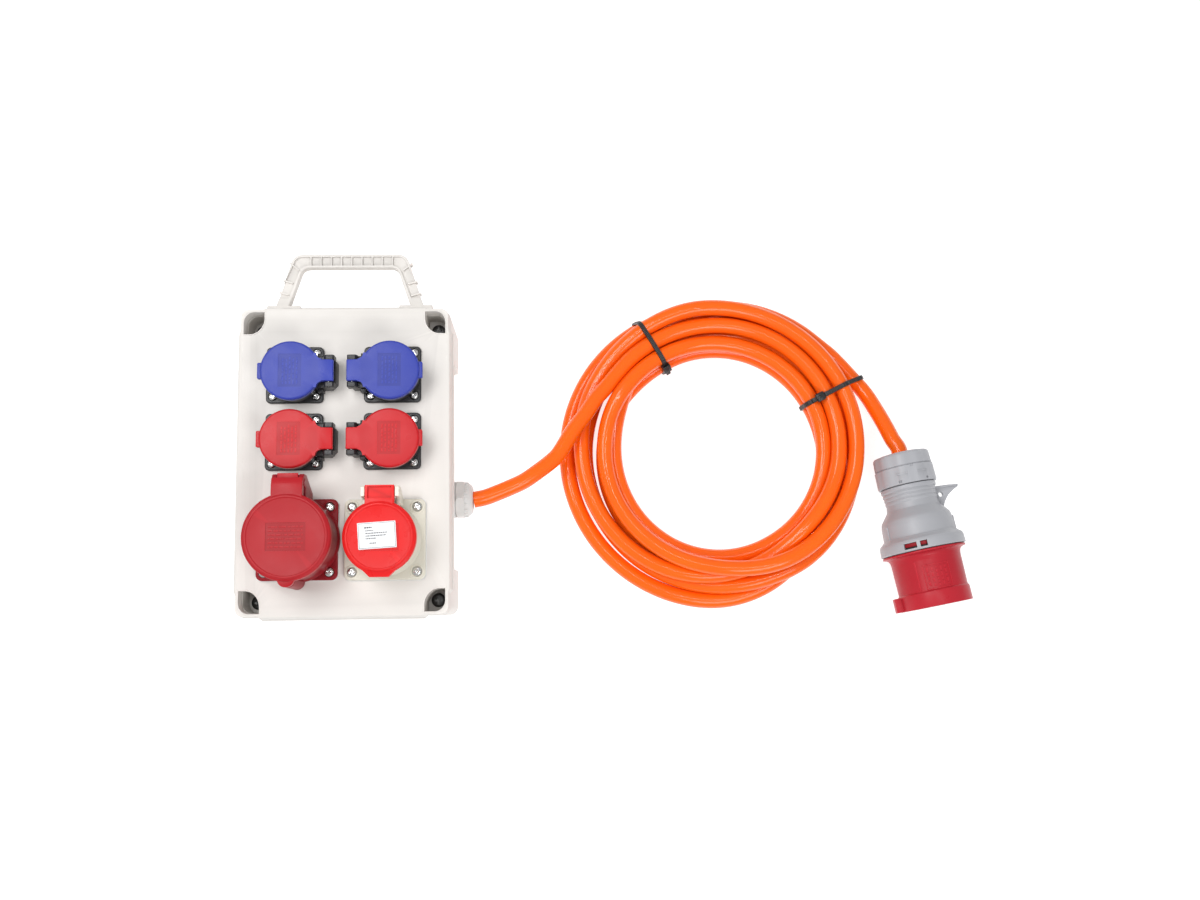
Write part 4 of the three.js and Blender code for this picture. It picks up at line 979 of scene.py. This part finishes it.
def make_label(c, place):
    """A paper rating label with generic printed lines."""
    tilt = 3.5
    high = c["high"] - 0.5
    sheet = moved(slab(rounded_rect(31.9, 22.3, 0.5), high - 0.3, high + 0.16, 0.05), (-1.6, 1.4, 0), tilt)
    piece("rating_label", sheet, "label_paper", body="cee_16a_cover", place=place)
    rows = ((6.8, -10.2, -4.2, 0.6), (4.2, -9.4, -3.0, 0.42), (2.0, -9.4, 8.4, 0.42), (-0.2, -9.4, 7.0, 0.42),
            (-2.4, -9.4, -1.4, 0.42), (-6.4, -6.4, -1.2, 0.42))
    rng = np.random.default_rng(5)
    bars = []
    for y, x, end, half in rows:
        while x < end:
            run = min(float(rng.uniform(0.7, 1.9)), end - x + 0.3)
            bars.append(block(x, x + run, y - half, y + half, high + 0.1, high + 0.2, 0.02, 0, 0.1))
            x += run + 0.35
    bars += [block(-15.2, 15.2, y, y + 0.3, high + 0.1, high + 0.2, 0.02, 0, 0.1) for y in (-10.4, 10.1)]
    bars += [block(x, x + 0.3, -10.1, 10.1, high + 0.1, high + 0.2, 0.02, 0, 0.1) for x in (-15.2, 14.9)]
    marks = moved(together(*bars), (-1.6, 1.4, 0), tilt)
    piece("rating_label_print", marks, "label_ink", body="cee_16a_cover", place=place)


def make_cee():
    for c, body_slot, cover_slot in ((CEE_32, "body_crimson", "cover_crimson"),
                                     (CEE_16, "body_ivory", "cover_signal_red")):
        place = Matrix.Translation((c["x"], c["y"], LID_TOP))
        make_cee_body(c, body_slot, place)
        make_cee_insert(c, place)
        if c is CEE_32:
            nib = moved(rod(7.2, c["low"] + 0.6, c["high"] - 2.6, 1.4, 48), (0, -34.4, 0))
        else:
            outline = [(-16, -25.5), (-7.9, -33.4), (7.9, -33.4), (16, -25.5)]
            nib = slab(outline, c["low"] + 0.6, c["high"] - 1.2, 0.9, 0.6)
        make_cee_cover(c, cover_slot, nib, place)
        if c is CEE_16:
            make_label(c, place)


# ------------------------------------------------------------------ gland
def make_gland():
    place = Matrix.Translation((0, *GLAND_AT)) @ Matrix.Rotation(math.pi / 2, 4, "Y")
    wall = WAIST_W / 2
    flats = 16.0 / math.cos(math.pi / 6)
    hexagon = arc(0, 0, flats, 0, 300, 5)

    def hex_ring(low, high):
        """A hexagon with its corners turned off at both ends."""
        cone = lathe([(0, low), (16.6, low), (flats + 0.3, low + 1.6), (flats + 0.3, high - 1.6),
                      (16.6, high), (0, high)], 0.2, 96)
        return solid([stack(hexagon, [(low, 0), (high, 0)])], common=[cone])

    thread = rod(12.3, wall - 11, wall + 2, 0.5, 96)
    through_bore = rod(8.1, wall - 14, wall + 9, 0.2)
    body = solid([hex_ring(wall + 0.3, wall + 5.5), thread], [through_bore])
    piece("gland_body_fine", body, "gland_grey", nodes=["gland_body"], place=place)
    seal = lathe([(12.8, wall + 0.02), (17.2, wall + 0.02), (17.2, wall + 0.9), (12.8, wall + 0.9)], 0.2, 64,
                 True)
    piece("gland_washer", seal, "seal_rubber", place=place)
    x0 = wall + 5.8
    dome = lathe([(0, x0 + 6), (15.4, x0 + 6), (15.7, 101.5), (15.5, 104.0), (14.6, 106.6), (12.6, 108.8),
                  (10.4, GLAND_END), (0, GLAND_END)], 0.8)
    ribs = [moved(block(15.1, 16.1, -0.7, 0.7, 101.2, 105.2, 0.3), turn=i * 20) for i in range(18)]
    bore = lathe([(0, x0 - 1), (7.9, x0 - 1), (7.9, GLAND_END - 1.0), (8.6, GLAND_END + 1),
                  (0, GLAND_END + 1)], 0.2)
    nut = solid([hex_ring(x0, 102.0), dome, *ribs], [bore])
    piece("gland_nut_fine", nut, "gland_grey", nodes=["gland_nut"], place=place)


# ------------------------------------------------------------------ plug
def plug_place():
    side = Vector((-PLUG_AXIS.y, PLUG_AXIS.x, 0)).normalized()
    # Local Z runs along the plug, local X points to its wing and local Y points up.
    basis = Matrix((side, PLUG_AXIS.cross(side), PLUG_AXIS)).transposed().to_4x4()
    return Matrix.Translation(PLUG_BACK) @ basis


def lobed(radius, lobes, dip, steps=12):
    """A round outline with shallow grip flats."""
    count = lobes * steps
    reach = [radius - dip * abs(math.sin(lobes * math.pi * i / count)) ** 3 for i in range(count)]
    return [(r * math.cos(TAU * i / count), r * math.sin(TAU * i / count)) for i, r in enumerate(reach)]


def on_shroud(x0, x1, z0, z1, radius, height):
    """Short raised bars that follow the shroud's round side between two widths."""
    parts = max(1, round((x1 - x0) / 2.0))
    wide = (x1 - x0) / parts
    bars = []
    for k in range(parts):
        tilt = math.asin((x0 + wide * (k + 0.5)) / radius)
        bar = block(-wide / 2 - 0.05, wide / 2 + 0.05, radius - 0.6, radius + height, z0, z1, 0.1, 0, 0.1)
        bars.append(moved(bar, turn=-math.degrees(tilt)))
    return bars


def make_plug():
    place = plug_place()
    length = PLUG_LENGTH
    shell = stack(lobed(28.0, 10, 0.8), [
        (0.0, 4.2), (0.5, 2.8), (1.6, 1.7), (3.2, 1.3), (12.4, 0.9), (12.8, 1.4), (13.4, 1.4), (13.8, 0.3),
        (28.8, 0.0), (29.8, 0.35), (30.2, 1.0)])
    cord_hole = lathe([(0, -2), (8.6, -2), (8.0, 2), (8.0, 34), (0, 34)], 0.2)
    cup = rod(21.5, 7, 34, 0.3)
    notches = [moved(block(26.3, 30, -1.4, 1.4, z, z + 2.2, 0.2), turn=a)
               for a, z in ((62, 26.8), (118, 26.8), (90, 13.0))]
    lines = [moved(block(26.9, 28.15, -5.5, 5.5, 20.6, 21.3, 0.1), turn=a) for a in (70, 112)]
    nut = solid([shell, *lines], [cord_hole, cup, *notches])
    piece("plug_nut_fine", nut, "plug_grey", nodes=["plug_nut"], place=place)

    outside = lathe([
        (0, 12), (20.8, 12), (20.8, 30.9), (25.6, 30.9), (25.6, 34.4), (24.3, 35.4), (24.9, 36.6),
        (24.9, 38.2), (24.0, 39.0), (24.5, 40.1), (24.5, 41.8), (23.7, 42.6), (24.3, 43.7), (24.3, 45.4),
        (23.7, 46.4),
        (24.6, 52.0), (28.6, 57.2), (31.6, 61.0), (32.3, 63.0), (33.0, 66.5), (33.5, 78.2), (35.9, 80.6),
        (38.2, 82.2), (39.0, 84.6), (39.3, 92.2), (37.6, 92.7), (0, 92.7)], 0.7, 128)
    wing = prism_y(clean([(20, 36.4), (34, 36.9), (45.8, 38.0), (46.2, 39.6), (41.6, 41.8), (35.4, 45.8),
                          (31.0, 51.0), (28.4, 56.0), (22, 54.5)]), -2.6, 2.6, 0.6)
    wing_rim = prism_y(clean([(20, 35.8), (34, 36.2), (46.1, 37.4), (46.3, 39.0), (34, 38.4), (20, 38.0)]),
                       -3.6, 3.6, 0.5)
    wing_hole = moved(rod(2.4, -6, 6, 0.2, 40), (28.4, 0, 44.2), 90, "X")
    slots = ((32.3, 12.0), (14.0, 6.5))
    windows = [moved(block(-w / 2, w / 2, 34.5, 42, 85.2, 90.6, 0.1), turn=a) for a, w in slots]
    throat = rod(17, 10, 70, 0.3)
    mouth = rod(29.7, 62, 95, 0.3, 96)
    ribs = [moved(block(31.4, 33.9, -0.8, 0.8, 66, 79, 0.5), turn=a) for a in (18, 162)]
    housing = solid([outside, wing, wing_rim, *ribs], [wing_hole, *windows, throat, mouth])
    piece("plug_housing_fine", housing, "plug_grey", nodes=["plug_housing"], place=place)
    tabs = [moved(block(-w / 2 + 0.3, w / 2 - 0.3, 34.6, 36.2, 85.5, 88.9, 0.3), turn=a)
            for a, w in slots]
    piece("plug_window_tabs", together(*tabs), "plug_red", place=place, look="body_crimson")
    backs = [moved(block(-w / 2 + 0.1, w / 2 - 0.1, 34.3, 34.9, 85.3, 90.5, 0.1), turn=a)
             for a, w in slots]
    piece("plug_window_backs", together(*backs), "insert_black", place=place)

    skirt = lathe([(0, 93.2), (38.2, 93.2), (38.4, 94.9), (36.0, 95.4), (33.9, 96.4), (32.6, 98.6),
                   (32.1, 102.0), (31.8, 130.2), (33.0, 131.4), (33.1, length), (0, length)], 0.6, 128)
    key = moved(block(-38.6, -31.5, -4.4, 4.4, 131.6, length - 0.2, 0.6, 0.5, 1.0))
    mouth = lathe([(0, 92), (29.6, 92), (29.6, length - 1.0), (30.4, length + 1), (0, length + 1)], 0.3, 96)
    shroud = solid([skirt, key], [mouth])
    band = moved(block(-0.8, 0.8, 30.6, 32.3, 103, 129, 0.4), turn=36.4)
    marks = []
    for x0, x1, z0, z1 in ((-14.0, -13.2, 108, 130), (9.2, 10.0, 108, 130), (-14.0, 10.0, 107.2, 108),
                           (-14.0, 10.0, 129.2, 130)):
        marks += on_shroud(x0, x1, z0, z1, 31.95, 0.5)
    rng = np.random.default_rng(9)
    for i in range(5):
        x = -11.2 + i * 4.1
        z = 110.0
        while z < 126.5:
            end = min(z + float(rng.uniform(1.5, 4.5)), 127.4)
            marks += on_shroud(x, x + 1.7, z, end, 31.95, 0.45)
            z = end + 1.0
    piece("plug_shroud_fine", together(shroud, band, *marks), "plug_red", nodes=["plug_shroud"], place=place)

    angles = [math.radians(i * 72 - 90) for i in range(5)]
    pins = [(18 * math.cos(a), -18 * math.sin(a)) for a in angles]
    radii = (3.6, 3.0, 3.0, 3.0, 3.0)
    collars = [moved(rod(6.4, 100, 103.8, 0.6, 40), (x, y, 0)) for x, y in pins]
    disc = rod(28.9, 68.3, 102, 0.8, 96)
    sockets = [moved(rod(r + 0.6, 86, 106, 0.1, 32), (x, y, 0)) for r, (x, y) in zip(radii, pins)]
    piece("plug_carrier_fine", solid([disc, *collars], sockets), "insert_black",
          nodes=["plug_contact_carrier"], place=place)
    for i, (r, (x, y)) in enumerate(zip(radii, pins), 1):
        pin = lathe([(0, 86.4), (r, 86.4), (r, 133.4), (r - 0.6, 136), (r - 1.6, 137.3), (0, 137.4)], 0.6, 40)
        piece(f"plug_pin_{i}_fine", moved(pin, (x, y, 0)), "contact_brass", nodes=[f"plug_pin_{i}"],
              place=place)


# ------------------------------------------------------------------ floor and scene
def make_floor():
    bm = bmesh.new()
    bmesh.ops.create_grid(bm, x_segments=1, y_segments=1, size=6.0)
    floor = raw_object(bm, "studio_floor")
    material, tree, bsdf, node = shader("studio_floor")
    place = node("ShaderNodeTexCoord")
    tone = spots(tree, node, place, 3.0, 2.0, 0.3, 0.7, 0.0, 1.0)
    color = mixed(tree, node, tone, (0.53, 0.53, 0.53, 1.0), (0.56, 0.56, 0.56, 1.0))
    tree.links.new(color, bsdf.inputs["Base Color"])
    bsdf.inputs["Roughness"].default_value = 0.7
    bsdf.inputs["Emission Color"].default_value = (1.0, 1.0, 1.0, 1.0)
    bsdf.inputs["Emission Strength"].default_value = 0.75
    floor.data.materials.append(material)
    floor.location.z = -0.0002


def finish_inner_nodes():
    """CAD nodes whose shape is right keep it and take the slot's material."""
    slots = {part["node"]: part["material_slot"] for part in frame["record"]["subparts"]}
    for name, shown in frame["nodes"].items():
        shown.data.materials.clear()
        shown.data.materials.append(FINISH[slots[name]])


make_camera()
make_studio()
cord, cord_route = make_cord()
make_floor()
finish_inner_nodes()
ties = [make_tie(name, angle, cord_route, name == "cable_tie_1") for name, angle in TIE_ANGLES.items()]
make_lid()
make_base()
make_handle()
make_lid_screws()
for schuko_colour in SCHUKO_AT:
    for schuko_side in (-1, 1):
        make_schuko(schuko_colour, schuko_side)
make_cee()
make_gland()
make_plug()

plug_parts = ("nut_fine", "housing_fine", "window_tabs", "window_backs", "shroud_fine", "carrier_fine")
plug_names = [f"plug_{part}" for part in plug_parts]
plug_names += [f"plug_pin_{i}_fine" for i in range(1, 6)]
